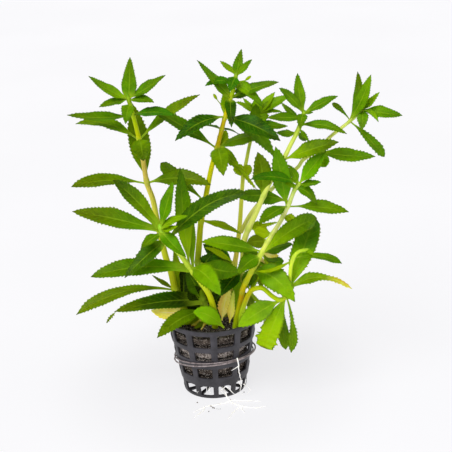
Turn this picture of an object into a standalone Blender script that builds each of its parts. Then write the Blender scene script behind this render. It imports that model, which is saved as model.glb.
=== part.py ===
"""Potted rice paddy herb: a bunch of leafy stems in a net pot with a rock wool plug.

Lengths are in millimetres and become metres as a mesh is made. The origin is the middle of
the pot's base, +Z is up, and the viewer stands on the -Y side and sees the front.
Stems and leaves are placed by the point of a 452 pixel picture where the viewer sees them,
and by their depth along +Y.
"""
import math
from collections import namedtuple

import bmesh
import bpy
from mathutils import Quaternion, Vector

MM = 0.001
GAP = 0.3                        # clearance between pieces that touch

# Net pot
POT_HEIGHT = 43.4
POT_TOP_RADIUS = 25.0
POT_BASE_RADIUS = 17.2
POT_WALL = 1.2
POT_BARS = 11
BAR_SHARE = 0.27                 # part of a bar's spacing that the bar itself takes
BAR_TURN = math.radians(-90.0 + 1.5)
GAP_COLUMNS = 2
HUB_RADIUS = 5.5
# Heights of the solid rings, from the base ring up to the rim
POT_RINGS = ((0.0, 1.6), (7.6, 13.0), (19.2, 24.3), (29.8, 32.8), (40.5, POT_HEIGHT))

# Rock wool plug
WOOL_BOTTOM = 9.5
WOOL_TOP = 38.0
WOOL_SIDES = 24
WOOL_LUMP = 0.9
FOOT_DEPTH = 7.0                 # how far each stem goes into the plug

# Rubber band, wound twice round the pot in one closed loop
BAND_RADIUS = 0.4
BAND_HEIGHT = 19.5
BAND_FRONT_RISE = 4.0
BAND_RIGHT_RISE = 1.5
BAND_SPREAD = 1.2
BAND_CROSSING = math.radians(-56.0)
BAND_PASS = 1.2                  # how far one winding stands out where it crosses the other
BAND_STEPS = 48
BAND_SIDES = 3

# Leaf blade: share of the length, and share of the width there
BLADE_STATIONS = ((0.0, 0.13), (0.10, 0.20), (0.25, 0.70), (0.45, 1.0), (0.65, 0.86), (0.84, 0.45))
YOUNG_STATIONS = ((0.0, 0.18), (0.22, 0.68), (0.48, 1.0), (0.76, 0.62))
BLADE_THICKNESS = 0.8
BLADE_FOLD = 0.14

STEM_SIDES = 5
STEM_STEP = 14.0                 # length of one facet along a stem
STEM_TIP = 1.5                   # the shoot past the last leaves
ROOT_SIDES = 4
BUD_RADII = (0.4, 0.4, 0.9, 0.9, 0.3)    # stalk start and end, bud near its base and tip, tip

# The viewer
VIEW_TARGET = Vector((9.8, 0.0, 93.1))
VIEW_DISTANCE = 600.0
VIEW_ELEVATION = math.radians(21.2)
VIEW_ROLL = math.radians(2.6)
FOCAL_PX = 1139.0
CENTRE_PX = 226.0
FORWARD = Vector((0.0, math.cos(VIEW_ELEVATION), -math.sin(VIEW_ELEVATION)))
LEVEL_UP = Vector((0.0, math.sin(VIEW_ELEVATION), math.cos(VIEW_ELEVATION)))
RIGHT = Quaternion(FORWARD, VIEW_ROLL) @ Vector((1.0, 0.0, 0.0))
UP = Quaternion(FORWARD, VIEW_ROLL) @ LEVEL_UP
EYE = VIEW_TARGET - FORWARD * VIEW_DISTANCE

PAINT = {
    "pot": ((0.055, 0.052, 0.060), 0.45),
    "wool": ((0.09, 0.07, 0.05), 0.95),
    "band": ((0.12, 0.09, 0.07), 0.60),
    "root": ((0.75, 0.70, 0.60), 0.70),
    "stem": ((0.45, 0.48, 0.06), 0.50),
    "green": ((0.10, 0.27, 0.015), 0.50),
    "bright": ((0.22, 0.45, 0.02), 0.50),
    "olive": ((0.13, 0.18, 0.02), 0.55),
    "dark": ((0.04, 0.13, 0.01), 0.50),
    "tan": ((0.50, 0.36, 0.12), 0.75),
}

# base_px and tip_px are where the viewer sees the ends; reach is how far the tip lies behind
# its base, and is negative where it comes nearer. lean turns the blade from full face at 0 to
# edge on at 90, towards the sky, or towards the ground if negative. arch lifts the middle and
# bow takes it to the right.
# A leaf that rises from the plug and not from a stem gives the depth of its base.
Leaf = namedtuple("Leaf", "name base_px tip_px reach width lean arch tint bow depth")
# route holds (x_px, y_px, depth) from the foot up; radii are those at the foot and at the tip.
# buds holds each flower bud as where the viewer sees its stalk start, its stalk end and its
# tip, and its reach.
Stem = namedtuple("Stem", "name route radii foot young leaves buds", defaults=((),))


def leaf(name, base_px, tip_px, reach, width, lean, arch=0.0, tint="green", bow=0.0, depth=None):
    """A large leaf, which is a piece of its own."""
    return Leaf("leaf_" + name, base_px, tip_px, reach, width, lean, arch, tint, bow, depth)


def young(base_px, tip_px, reach, width, lean, arch=0.0, bow=0.0):
    """A small leaf, bud or stalk that stays fused to its stem."""
    return Leaf("", base_px, tip_px, reach, width, lean, arch, "stem", bow, None)


LEFT = Stem(
    "stem_left",
    route=((191, 322, 0), (182, 306, 1), (176, 293, 2), (171, 272, 3), (166, 258, 3), (158, 225, 3),
           (153, 200, 3), (147, 183, 2), (143, 160, 1), (139, 139, 0), (133, 115, 0), (128, 97, 0)),
    radii=(2.0, 1.0), foot=True,
    young=(
        young((128, 99), (130, 57), 4, 7.4, 10),
        young((128, 98), (88.5, 76), -6, 7.2, 48, -1.7),
        young((128, 98), (165.5, 75), -4, 7.6, 52, -0.7),
        young((128, 99), (99, 107), -8, 6, 50, 0.3),
        young((130, 100), (154, 102.5), -8, 6, 50, 1),
        young((129, 105), (125.5, 124), -13, 6.2, 5, 2),
        young((133, 115), (174, 115.5), -13, 7.4, 50, 1.6),
        young((173, 290), (152, 275), 6, 3.4, 50, -0.5),
        young((180, 300), (174, 246), 8, 6, 40),
    ),
    leaves=(
        leaf("left_1", (173, 290), (76, 315), -10, 8.4, 40, 6.3, "olive"),
        leaf("left_2", (147, 183), (71, 187), -12, 9.5, 48, 2.6, "olive"),
        leaf("left_3", (147, 183), (211, 185), -12, 9.5, 36, 3.2, "olive"),
        leaf("left_4", (146, 181), (132, 103), 12, 10.5, 5, 0, "olive"),
        leaf("left_5", (139, 139), (75.5, 124), 10, 7.8, 48, 4.2, "olive"),
        leaf("left_6", (139, 139), (200, 94.5), 12, 7.6, 50, 2.2, "olive"),
        leaf("left_7", (139, 139), (143.5, 161), -20, 9, 0, 2.6, "olive"),
        leaf("left_8", (133, 115), (67, 115), -8, 8, 56, -1.3, "olive"),
    ))

SHORT = Stem(
    "stem_short",
    route=((215, 327, -8), (214, 317, -9), (213, 306, -10), (207, 291, -12), (190, 268, -15),
           (178, 252, -17), (164, 241, -18), (160, 227, -18)),
    radii=(1.7, 1.2), foot=True,
    young=(
        young((160, 227), (173.5, 181), -4, 6.8, 30, 0),
        young((161, 231), (186, 257), -14, 7.8, 30, -0.8),
        young((160, 228), (188, 216), -8, 5.2, 40, 1),
        young((161, 233), (141, 248), -10, 6.2, 40, 0.4),
        young((193, 272), (184, 184), 14, 6.4, 35, 1),
    ),
    leaves=(
        leaf("short_1", (190, 268), (90.5, 277), -9, 10.2, 32, 3.2),
        leaf("short_2", (190, 268), (221, 296), -30, 10, 5, 4, "bright"),
        leaf("short_3", (188, 265), (180, 167), 4, 9.2, 25, 0, "bright", bow=-0.6),
        leaf("short_4", (164, 241), (124.5, 278), -12, 9.0, 30, 0.9, "dark"),
        leaf("short_5", (166, 242), (247, 193), -6, 9.0, 15, 6.2, "dark"),
        leaf("short_6", (160, 227), (113, 180), -4, 9.2, 35, 1.4, "bright", bow=0.5),
        leaf("short_7", (160, 230), (72, 211.5), -14, 10.0, 25, 1.0, "olive"),
    ))

TALL = Stem(
    "stem_tall",
    route=((207, 321, 0), (203, 300, 1), (200, 280, 1), (198, 262, 1), (199, 245, 1), (201, 222, 1),
           (205, 201, 1), (211, 170, 1), (217, 148, 1), (225, 117, 1), (231, 97, 1), (235, 84, 1),
           (236, 75, 1)),
    radii=(2.0, 0.9), foot=True,
    young=(
        young((236, 75), (241.5, 49), 3, 5.0, 15),
        young((236, 76), (252, 59.5), -2, 4.2, 40),
        young((236, 75), (220, 61), -3, 3.4, -40, 0.8),
        young((234, 76), (230, 91), -8, 6.0, 10, 0.6),
        young((235, 84), (205, 86), -5, 5.0, 40, 2.2),
        young((235, 84), (259, 109), -7, 6.2, 35, 1.6),
        young((231, 97), (197, 60), -6, 6.6, 40, -0.6),
        young((231, 97), (279, 82), -6, 6.2, 40, 0.8),
        young((232, 101), (231.5, 127.5), -15, 5.6, 10, 2.2),
        young((225, 117), (226, 88), 4, 4.4, 0),
        young((218, 147), (226, 130), 6, 5.5, 0, bow=0.6),
        young((217, 148), (265, 137), 10, 8, -45, 2.4),
        young((202, 221), (241, 234), 3, 6, -55, 2),
        young((222, 129), (198, 126), 8, 4, 80, 1),
        young((222, 129), (240, 135), 10, 3, 80, 1),
        young((203, 298), (186, 271), -4, 9, 10, 1),
        young((199, 270), (213, 253), -4, 7, 10),
    ),
    leaves=(
        leaf("tall_1", (199, 262), (241.5, 271.5), -26, 10, 10, -2, "dark"),
        leaf("tall_2", (205, 201), (160.5, 163), 7, 8, -35, 1, "olive"),
        leaf("tall_3", (217, 148), (147, 107), -3, 8.6, 45, 1),
        leaf("tall_4", (218, 148), (223.5, 176), -24, 9, 0, 3.2, "olive"),
        leaf("tall_5", (218, 147), (257, 190), -5, 6.9, 40, 0.2, "olive", bow=0.3),
        leaf("tall_6", (225, 117), (175, 141), -14, 8.4, 40, 3.0, "dark"),
        leaf("tall_7", (225, 117), (280.5, 141), -14, 9.6, 30, 2.0, "dark"),
        leaf("tall_8", (225, 118), (276, 158), 8, 9, 30, 5, "dark"),
    ),
    buds=(((235, 84), (245, 80.5), (251, 76), -3), ((222, 112), (217, 99.5), (213.5, 94), -3)))

BACK = Stem(
    "stem_back",
    route=((226, 316, 7), (231, 290, 9), (234, 268, 11), (237, 250, 12), (240, 222, 14), (243, 178, 15),
           (246, 163, 15), (250, 143, 15), (257, 115, 15)),
    radii=(1.6, 0.8), foot=True,
    young=(
        young((257, 114), (275, 92), 5, 5.6, 40),
        young((257, 114), (235.5, 102), -3, 3.2, 40, 1),
        young((257, 114), (243, 98), 3, 3.4, 40),
        young((257, 114), (290, 96), 2, 6.4, 40, 1),
        young((257, 114), (282, 112), -3, 4.6, 60, 1),
        young((257, 114), (258, 96), 4, 6, 0),
        young((256, 119), (288, 126), -6, 4.6, 35, -1.6),
        young((245, 176), (236, 165), 3, 5.2, 0),
        young((244, 177), (250, 165), -3, 4.6, 0),
        young((236, 264), (204, 247), 4, 4, 40, 1),
        young((232, 294), (217, 268), 4, 10, 0),
    ),
    leaves=())

CENTRE = Stem(
    "stem_centre_right",
    route=((237, 314, 2), (240, 285, 0), (243, 260, -3), (245, 238, -5), (255, 215, -7), (270, 182, -8),
           (284, 158, -8), (290, 146, -7), (299, 128, -6), (304, 113, -6)),
    radii=(1.9, 1.0), foot=True,
    young=(
        young((304, 113), (297.5, 73), 3, 5.4, 15, bow=-0.7),
        young((304, 113), (279, 88), -4, 5.6, 35, 1),
        young((304, 113), (338, 96), -4, 6.4, 45, 0.3),
        young((304, 113), (313, 112.5), -3, 1.4, 30),
        young((302, 118), (267, 118), -7, 5.8, 40, 0.2),
        young((301, 121), (281, 102.5), 4, 3.8, -40),
        young((304, 114), (300, 129), -12, 5.2, 10, 1.6),
        young((300, 125), (347, 134), -8, 5.8, 42, 2.2),
        young((299, 128), (309, 142), -6, 2.2, 30),
        young((297, 133), (276, 133), 5, 4.6, -40),
        young((249, 228), (268, 231), 3, 6.4, 20, 1),
        young((249, 229), (278, 222), 6, 2, -20),
        young((242, 270), (219, 297), -12, 8, 20, 1),
    ),
    leaves=(
        leaf("centre_1", (265, 196), (257.5, 152), -4, 9.5, 10, 0, "olive", bow=1.2),
        leaf("centre_2", (284, 159), (339, 142), -10, 8.8, 35, 0.8, "olive"),
    ))

LONG = Stem(
    "stem_long_right",
    route=((241, 232, 10), (250, 215, 6), (262, 200, 2.5), (275, 186, 1), (297, 168, -1),
           (303, 160, -1), (316, 151, -2), (330, 137, -2), (340, 129, -2), (350, 121, -2),
           (362, 110, -2)),
    radii=(1.2, 0.8), foot=False,
    young=(
        young((362, 110), (402.5, 115.5), -4, 7.5, 40, 0),
        young((362, 110), (379.5, 92), -2, 4.2, 40, -0.5),
        young((362, 110), (378.5, 122), -8, 5, 60, 2),
        young((361.5, 110), (361.5, 130.5), -8, 5.6, 10, 1, bow=0.6),
        young((354, 118), (357.5, 71.5), 5, 5.6, 30, bow=1.8),
        young((350, 121), (371, 74.5), -5, 6.6, 20, bow=1.0),
        young((350, 121), (332, 103.5), 4, 3.2, -40, 1.6),
        young((322, 155), (326, 167), -8, 6.4, 0),
    ),
    leaves=(
        leaf("long_1", (318, 152), (375.5, 156.5), -7, 8.6, 42, -1.0),
        leaf("long_2", (350, 121), (384.5, 157), -8, 5.6, 35, 1),
    ))

FRONT = Stem(
    "stem_front_right",
    route=((236, 323, -9), (238, 312, -10), (241, 299, -12), (244, 286, -14), (255, 265, -15),
           (262, 252, -15), (270, 238, -14), (280, 222, -13), (288, 206, -12), (295, 189, -12),
           (299, 184, -12)),
    radii=(1.6, 1.0), foot=True,
    young=(
        young((299, 184), (321, 182), -4, 5.6, 52, -0.4),
        young((299, 184), (289, 165), -2, 4.5, 30),
        young((299, 184), (250.5, 179.5), -20, 6.5, 42, 2.5),
        young((297, 186), (285, 184), -5, 3, 30),
        young((297, 190), (317, 205), -4, 6, 30, 3),
        young((262, 252), (293, 244), 8, 6.8, -40, 0.6),
        young((269, 242), (247, 243), 8, 7.4, -20, 0.6),
        young((268, 242), (280, 237), 8, 7, -20),
        young((283, 216), (297, 221), -4, 5, 30),
        young((248, 282), (271, 307), 1, 2.8, 50, -3.2, bow=-1.8),
        young((261, 258), (250, 292), 5, 4.4, 20, bow=0.8),
        young((260, 257), (237.5, 274), -16, 8.4, 15, 1.6),
        young((272, 234), (254, 231), 5, 6.4, -20),
    ),
    leaves=(
        leaf("front_1", (251, 271), (295, 302), -14, 12.0, 5, 5.4, "bright"),
        leaf("front_2", (262, 252), (201, 242), -11, 9.0, 35, 1.0, "bright"),
        leaf("front_3", (262, 252), (317, 218), -8, 9.6, 25, 2.2, "bright"),
        leaf("front_4", (288, 206), (349, 212), -4, 8.2, 40, 1.1, "olive"),
        leaf("front_5", (288, 206), (259, 224), -19, 7.2, 35, 1.3),
        leaf("front_6", (288, 206), (275.5, 146.5), -5, 9.5, 15, 0),
        leaf("front_7", (289, 202), (236, 197), 18, 9.4, -40, 2.2, "dark"),
        leaf("front_8", (299, 184), (326, 150), -4, 7.5, 20, 0),
    ))

LOW = Stem(
    "stem_low_right",
    route=((242, 329, -9), (241, 316, -12), (246, 300, -16), (251, 291, -18), (258, 288, -20),
           (264, 289, -21), (272, 296, -22), (280, 300, -22), (286, 296, -22), (289, 286, -22),
           (290, 277, -22), (291, 266, -22), (294, 257, -21), (299, 251.5, -20), (307, 250, -19)),
    radii=(1.5, 0.9), foot=True,
    young=(
        young((305, 251), (316, 258), -4, 3, 40, 1),
        young((292, 259), (255, 271), -3, 3.0, 50, -2.6),
        young((294, 258), (342, 263.5), -5, 6.0, 50, 2.4),
        young((281, 300), (286, 350), 3, 5.8, 10, bow=-0.6),
    ),
    leaves=(
        leaf("low_1", (285, 298), (264, 348), -6, 11.6, 5, 1, "bright"),
        leaf("low_2", (287, 298), (291, 353), -2, 4.8, 20, 0, "olive", bow=1.9),
        leaf("low_3", (280, 300), (237.5, 327), -3, 10.4, 15, 1.0, "bright"),
        leaf("low_4", (289, 288), (352, 289), -6, 6.8, 42, 6.2),
        leaf("low_5", (287, 290), (315, 217.5), 14, 11.4, 0, 0, "bright"),
    ))

# Leaves at the pot: two from the foot of the tall stem, and the rest from the plug
FOOT_LEAVES = (
    leaf("foot_1", (206, 299), (114, 312), -18, 10.4, 35, 2.1, "dark"),
    leaf("foot_2", (205, 310), (157, 338), -29, 9, 30, 3, "olive"),
)
PLUG_LEAVES = (
    leaf("foot_3", (187, 311), (151, 310.5), -5, 8, 10, -1.2, "tan", depth=-5),
    leaf("foot_4", (224, 328), (193, 312.5), -3, 9, 5, 3, "bright", depth=-13),
    leaf("foot_5", (229.5, 323), (234, 290), -2, 4.0, 20, 0, "tan", depth=-6),
    leaf("foot_6", (222, 320.5), (229.5, 287), 0, 6.4, 15, 0, "tan", bow=-0.8, depth=-1),
    leaf("foot_7", (236, 317), (239, 278), -1, 6.6, 15, 0, "bright", depth=-4),
)

STEMS = (LEFT, SHORT, TALL, BACK, CENTRE, LONG, FRONT, LOW)

# Roots, as (x_px, y_px, depth) where they run down the pot, and as (x, y, z) on the floor
ROOT_RADIUS = 0.45
SIDE_ROOT = ((237, 358, -22), (238.5, 364, -23.5), (239, 372, -22), (241, 380, -20.5), (241.5, 387, -19.5))
SIDE_TWIG = ((238.5, 366, -23), (235, 368.5, -23), (231.5, 371, -22.5))
FLOOR_ROOT = ((4, -12.5, 4.0), (5.3, -16.5, 3.0), (6.5, -20, 1.3), (9, -24, 0.5), (13, -28, 0.5),
              (15, -35, 0.5))
FLOOR_TWIGS = (
    ((8, -22.5, 0.6), (1, -25, 0.5), (-6, -27, 0.5), (-12, -32, 0.5)),
    ((7.5, -22, 0.7), (16, -22, 0.5), (24, -24, 0.5)),
    ((12, -27, 0.5), (20, -30, 0.5), (27, -29, 0.5)),
    ((13, -28, 0.5), (9, -34, 0.5), (6, -41, 0.5)),
    ((-6, -27, 0.5), (-7, -31, 0.5), (-12, -38, 0.5)),
)


def clear_scene():
    for item in list(bpy.data.objects):
        bpy.data.objects.remove(item, do_unlink=True)


def paint(name):
    colour, roughness = PAINT[name]
    material = bpy.data.materials.new("paint_" + name)
    material.use_nodes = True
    shader = material.node_tree.nodes["Principled BSDF"]
    shader.inputs["Base Color"].default_value = (*colour, 1.0)
    shader.inputs["Roughness"].default_value = roughness
    shader.inputs["Metallic"].default_value = 0.0
    return material


def piece(name, points, faces, tint, smooth=True):
    """An object from points in millimetres, with its faces turned outwards."""
    mesh = bpy.data.meshes.new(name)
    mesh.from_pydata([point * MM for point in points], [], faces)
    shell = bmesh.new()
    shell.from_mesh(mesh)
    bmesh.ops.recalc_face_normals(shell, faces=shell.faces)
    shell.to_mesh(mesh)
    shell.free()
    mesh.materials.append(paint(tint))
    if smooth:
        mesh.shade_smooth()
        mesh.set_sharp_from_angle(angle=math.radians(50.0))
    made = bpy.data.objects.new(name, mesh)
    bpy.context.collection.objects.link(made)
    return made


def combine(target, others, operation):
    """Cuts or joins the others into the target, and removes them."""
    for other in others:
        step = target.modifiers.new(other.name, "BOOLEAN")
        step.operation = operation
        step.solver = "EXACT"
        step.object = other
    bpy.context.view_layer.update()
    graph = bpy.context.evaluated_depsgraph_get()
    result = bpy.data.meshes.new_from_object(target.evaluated_get(graph))
    target.modifiers.clear()
    target.data = result
    for other in others:
        bpy.data.objects.remove(other, do_unlink=True)
    return target


def seen_at(x_px, y_px, depth):
    """The point at this depth that the viewer sees at this pixel."""
    across = (x_px - CENTRE_PX) / FOCAL_PX
    above = (CENTRE_PX - y_px) / FOCAL_PX
    sight = FORWARD + RIGHT * across + UP * above
    return EYE + sight * ((depth - EYE.y) / sight.y)


def pixel_of(point):
    """Where the viewer sees a point."""
    offset = point - EYE
    far = offset.dot(FORWARD)
    return Vector((CENTRE_PX + FOCAL_PX * offset.dot(RIGHT) / far,
                   CENTRE_PX - FOCAL_PX * offset.dot(UP) / far))


def spline(points, step):
    """Points about one step apart along a smooth curve through the given ones."""
    line = []
    ends = [points[0] * 2 - points[1], *points, points[-1] * 2 - points[-2]]
    for a, b, c, d in zip(ends, ends[1:], ends[2:], ends[3:]):
        spans = max(1, round((c - b).length / step))
        for index in range(spans):
            t = index / spans
            line.append(0.5 * (2 * b + (c - a) * t + (2 * a - 5 * b + 4 * c - d) * t ** 2
                               + (3 * b - a - 3 * c + d) * t ** 3))
    line.append(points[-1])
    return line


def tangents(line):
    steps = [line[1] - line[0]]
    steps += [after - before for before, after in zip(line, line[2:])]
    steps.append(line[-1] - line[-2])
    return [step.normalized() for step in steps]


def tube(line, radii, sides, closed=False):
    """Points and faces of a tube round a line, with flat ends unless it closes on itself."""
    points, faces = [], []
    side = line[0].cross(line[1]).cross(line[1] - line[0]).normalized()
    if closed:
        headings = [(line[(i + 1) % len(line)] - line[i - 1]).normalized() for i in range(len(line))]
    else:
        headings = tangents(line)
    for centre, heading, radius in zip(line, headings, radii):
        side = (side - heading * side.dot(heading)).normalized()
        other = heading.cross(side)
        for index in range(sides):
            turn = math.tau * index / sides
            points.append(centre + (side * math.cos(turn) + other * math.sin(turn)) * radius)
    rings = len(line)
    for ring in range(rings if closed else rings - 1):
        after = (ring + 1) % rings
        for index in range(sides):
            beside = (index + 1) % sides
            faces.append((ring * sides + index, ring * sides + beside,
                          after * sides + beside, after * sides + index))
    if not closed:
        faces.append(tuple(range(sides)))
        faces.append(tuple(range((rings - 1) * sides, rings * sides)))
    return points, faces


def stem_line(stem):
    """The middle line of a stem, with its radius at each point."""
    line = spline([seen_at(*place) for place in stem.route], STEM_STEP)
    thick, thin = stem.radii
    radii = [thick + (thin - thick) * index / (len(line) - 1) for index in range(len(line))]
    return line, radii


def nearest_on_stem(stem, place_px):
    """The point, heading and radius of the stem where the viewer sees this pixel."""
    line, radii = stem_line(stem)
    goal = Vector(place_px)
    best = None
    for index in range(len(line) - 1):
        start_px, end_px = pixel_of(line[index]), pixel_of(line[index + 1])
        span = end_px - start_px
        share = min(1.0, max(0.0, (goal - start_px).dot(span) / span.length_squared))
        miss = (goal - start_px - span * share).length
        if best is None or miss < best[0]:
            point = line[index].lerp(line[index + 1], share)
            heading = (line[index + 1] - line[index]).normalized()
            best = (miss, point, heading, radii[index])
    return best[1:]


def blade_ends(item, stem):
    """Where a blade starts, clear of its stem or just inside it if it is fused, and its tip."""
    if stem is None:
        return seen_at(*item.base_px, item.depth), seen_at(*item.tip_px, item.depth + item.reach)
    root, heading, radius = nearest_on_stem(stem, item.base_px)
    tip = seen_at(*item.tip_px, root.y + item.reach)
    outward = (tip - root) / 2 + Vector((0.0, 0.0, item.arch))
    outward = (outward - heading * outward.dot(heading)).normalized()
    clear = radius + GAP + BLADE_THICKNESS / 2 if item.name else 0.2 * radius
    return root + outward * clear, tip


def blade(item, stem=None):
    """Points and faces of a leaf, closed and thin, from its base to its tip."""
    base, tip = blade_ends(item, stem)
    lift = (Vector((0.0, 0.0, item.arch)) + RIGHT * item.bow) * 4.0
    chord = tip - base
    face = face_direction(base + chord / 2, chord, item.lean)
    stations = BLADE_STATIONS if item.name else YOUNG_STATIONS
    points = []
    for share, width in stations:
        centre = base + chord * share + lift * share * (1.0 - share)
        along = (chord + lift * (1.0 - 2.0 * share)).normalized()
        normal = (face - along * face.dot(along)).normalized()
        side = along.cross(normal)
        half = item.width / 2 * width
        raised = normal * BLADE_FOLD * half
        thick = normal * BLADE_THICKNESS / 2
        points += [centre + side * half + raised, centre + thick,
                   centre - side * half + raised, centre - thick]
    points.append(tip)
    faces = [(0, 1, 2), (0, 2, 3)]
    rings = len(stations)
    for ring in range(rings - 1):
        for index in range(4):
            beside = (index + 1) % 4
            first, second = ring * 4 + index, ring * 4 + beside
            faces += [(first, second, second + 4), (first, second + 4, first + 4)]
    last = (rings - 1) * 4
    faces += [(last + index, last + (index + 1) % 4, len(points) - 1) for index in range(4)]
    return points, faces


def face_direction(point, chord, lean):
    """The way the seen side of a blade faces: at the viewer, then leaned to the sky or ground."""
    along = chord.normalized()
    to_viewer = (EYE - point).normalized()
    full = (to_viewer - along * to_viewer.dot(along)).normalized()
    turned = [Quaternion(along, math.radians(angle)) @ full for angle in (abs(lean), -abs(lean))]
    turned.sort(key=lambda normal: normal.z)
    return turned[1] if lean >= 0 else turned[0]


def wall_radius(height):
    return POT_BASE_RADIUS + (POT_TOP_RADIUS - POT_BASE_RADIUS) * height / POT_HEIGHT


def pot_columns():
    """The turn at which each column starts, and whether the column is a bar."""
    spacing = math.tau / POT_BARS
    bar = spacing * BAR_SHARE
    columns = []
    for index in range(POT_BARS):
        start = BAR_TURN + spacing * index - bar / 2
        columns.append((start, True))
        for part in range(GAP_COLUMNS):
            columns.append((start + bar + (spacing - bar) * part / GAP_COLUMNS, False))
    return columns


def pot_rows():
    """From the hub out and up to the rim: outer and inner (radius, height), and a solid row or not.

    Each entry starts a row that runs to the next entry.
    """
    rows = [((HUB_RADIUS, 0.0), (HUB_RADIUS, POT_WALL), False)]
    for low, high in POT_RINGS:
        for height, solid in ((low, True), (high, False)):
            outer = (wall_radius(height), height)
            inner = (wall_radius(height) - POT_WALL, max(height, POT_WALL))
            rows.append((outer, inner, solid))
    return rows


def make_pot():
    """One moulded basket: a grid of rows and columns in which the windows are left out."""
    columns, rows = pot_columns(), pot_rows()
    points = [Vector((0.0, 0.0, 0.0)), Vector((0.0, 0.0, POT_WALL))]
    for outer, inner, _ in rows:
        for radius, height in (outer, inner):
            for turn, _ in columns:
                points.append(Vector((radius * math.cos(turn), radius * math.sin(turn), height)))
    count = len(columns)

    def outer_point(row, column):
        return 2 + (2 * row) * count + column % count

    def inner_point(row, column):
        return 2 + (2 * row + 1) * count + column % count

    def solid(row, column):
        if row == -1:
            return True
        if row >= len(rows) - 1:
            return False
        return rows[row][2] or columns[column % count][1]

    faces = []
    for column in range(count):
        faces.append((0, outer_point(0, column), outer_point(0, column + 1)))
        faces.append((1, inner_point(0, column + 1), inner_point(0, column)))
        for row in range(-1, len(rows) - 1):
            edge = row + 1
            if solid(row, column) != solid(row + 1, column):
                faces.append((outer_point(edge, column), outer_point(edge, column + 1),
                              inner_point(edge, column + 1), inner_point(edge, column)))
            if row < 0 or not solid(row, column):
                continue
            faces.append((outer_point(row, column), outer_point(row, column + 1),
                          outer_point(row + 1, column + 1), outer_point(row + 1, column)))
            faces.append((inner_point(row, column), inner_point(row + 1, column),
                          inner_point(row + 1, column + 1), inner_point(row, column + 1)))
            for edge_column, beside in ((column, column - 1), (column + 1, column + 1)):
                if not solid(row, beside):
                    faces.append((outer_point(row, edge_column), outer_point(row + 1, edge_column),
                                  inner_point(row + 1, edge_column), inner_point(row, edge_column)))
    return piece("net_pot", points, faces, "pot")


def make_wool():
    """A tapered plug with a lumpy top, and a socket for each stem's foot."""
    profile = [(0.0, WOOL_BOTTOM), (0.6, WOOL_BOTTOM), (1.0, WOOL_BOTTOM + 1.5), (1.0, 24.0),
               (1.0, WOOL_TOP - 2.0), (0.93, WOOL_TOP), (0.62, WOOL_TOP), (0.3, WOOL_TOP), (0.0, WOOL_TOP)]
    points = [Vector((0.0, 0.0, WOOL_BOTTOM)), Vector((0.0, 0.0, WOOL_TOP))]
    for share, height in profile[1:-1]:
        radius = share * (wall_radius(height) - POT_WALL - GAP)
        for index in range(WOOL_SIDES):
            turn = math.tau * index / WOOL_SIDES
            lump = 0.0
            if height == WOOL_TOP:
                lump = WOOL_LUMP * math.sin(5 * turn + 9 * share) * math.cos(3 * turn - 4 * share)
            points.append(Vector((radius * math.cos(turn), radius * math.sin(turn), height + lump)))
    faces = []
    rings = len(profile) - 2
    for index in range(WOOL_SIDES):
        beside = (index + 1) % WOOL_SIDES
        faces.append((0, 2 + index, 2 + beside))
        last = 2 + (rings - 1) * WOOL_SIDES
        faces.append((1, last + beside, last + index))
        for ring in range(rings - 1):
            low = 2 + ring * WOOL_SIDES
            high = low + WOOL_SIDES
            faces.append((low + index, low + beside, high + beside, high + index))
    plug = piece("rock_wool", points, faces, "wool")
    sockets = []
    for stem in STEMS:
        if stem.foot:
            line, radii = foot_line(stem, FOOT_DEPTH + GAP)
            hollow = tube(line, [radius + GAP for radius in radii], STEM_SIDES)
            sockets.append(piece("socket_" + stem.name, *hollow, "wool"))
    return combine(plug, sockets, "DIFFERENCE")


def foot_line(stem, depth):
    """The straight foot of a stem, down into the plug, and up to the stem's second point."""
    line, radii = stem_line(stem)
    down = (line[0] - line[1]).normalized()
    return [line[0] + down * depth, line[0], line[1]], [radii[0], radii[0], radii[1]]


def make_band():
    """One elastic loop that goes twice round the pot on a tilted path."""
    line = []
    for index in range(BAND_STEPS):
        turn = 2 * math.tau * index / BAND_STEPS
        height = BAND_HEIGHT - BAND_FRONT_RISE * math.sin(turn) + BAND_RIGHT_RISE * math.cos(turn)
        phase = (turn - BAND_CROSSING) / 2
        height += BAND_SPREAD * math.sin(phase)
        outside = wall_radius(height) + GAP + BAND_RADIUS
        outside += BAND_PASS * (0.5 + 0.5 * math.cos(phase)) ** 2
        line.append(Vector((outside * math.cos(turn), outside * math.sin(turn), height)))
    radii = [BAND_RADIUS] * len(line)
    return piece("rubber_band", *tube(line, radii, BAND_SIDES, closed=True), "band")


def make_stem(stem):
    """A stem with its growing tip, its small leaves and its foot in the plug."""
    line, radii = stem_line(stem)
    if stem.foot:
        foot, _ = foot_line(stem, FOOT_DEPTH)
        line.insert(0, foot[0])
        radii.insert(0, radii[0])
    tip = line[-1] + (line[-1] - line[-2]).normalized() * STEM_TIP
    line.append(tip)
    radii.append(radii[-1] * 0.4)
    body = piece(stem.name, *tube(line, radii, STEM_SIDES), "stem")
    small = [piece("small_leaf", *blade(item, stem), "stem") for item in stem.young]
    small += [make_bud(stem, *bud) for bud in stem.buds]
    return combine(body, small, "UNION") if small else body


def make_bud(stem, start_px, neck_px, tip_px, reach):
    """A flower bud on its stalk, both fused to their stem."""
    start, _, _ = nearest_on_stem(stem, start_px)
    neck = seen_at(*neck_px, start.y + reach * 0.6)
    tip = seen_at(*tip_px, start.y + reach)
    line = [start, neck, neck.lerp(tip, 0.3), neck.lerp(tip, 0.7), tip]
    return piece("bud", *tube(line, BUD_RADII, STEM_SIDES), "stem")


def make_leaf(item, stem=None):
    return piece(item.name, *blade(item, stem), item.tint)


def root_tube(name, line, radius):
    radii = [radius] * (len(line) - 1) + [radius * 0.4]
    return piece(name, *tube(line, radii, ROOT_SIDES), "root")


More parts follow.
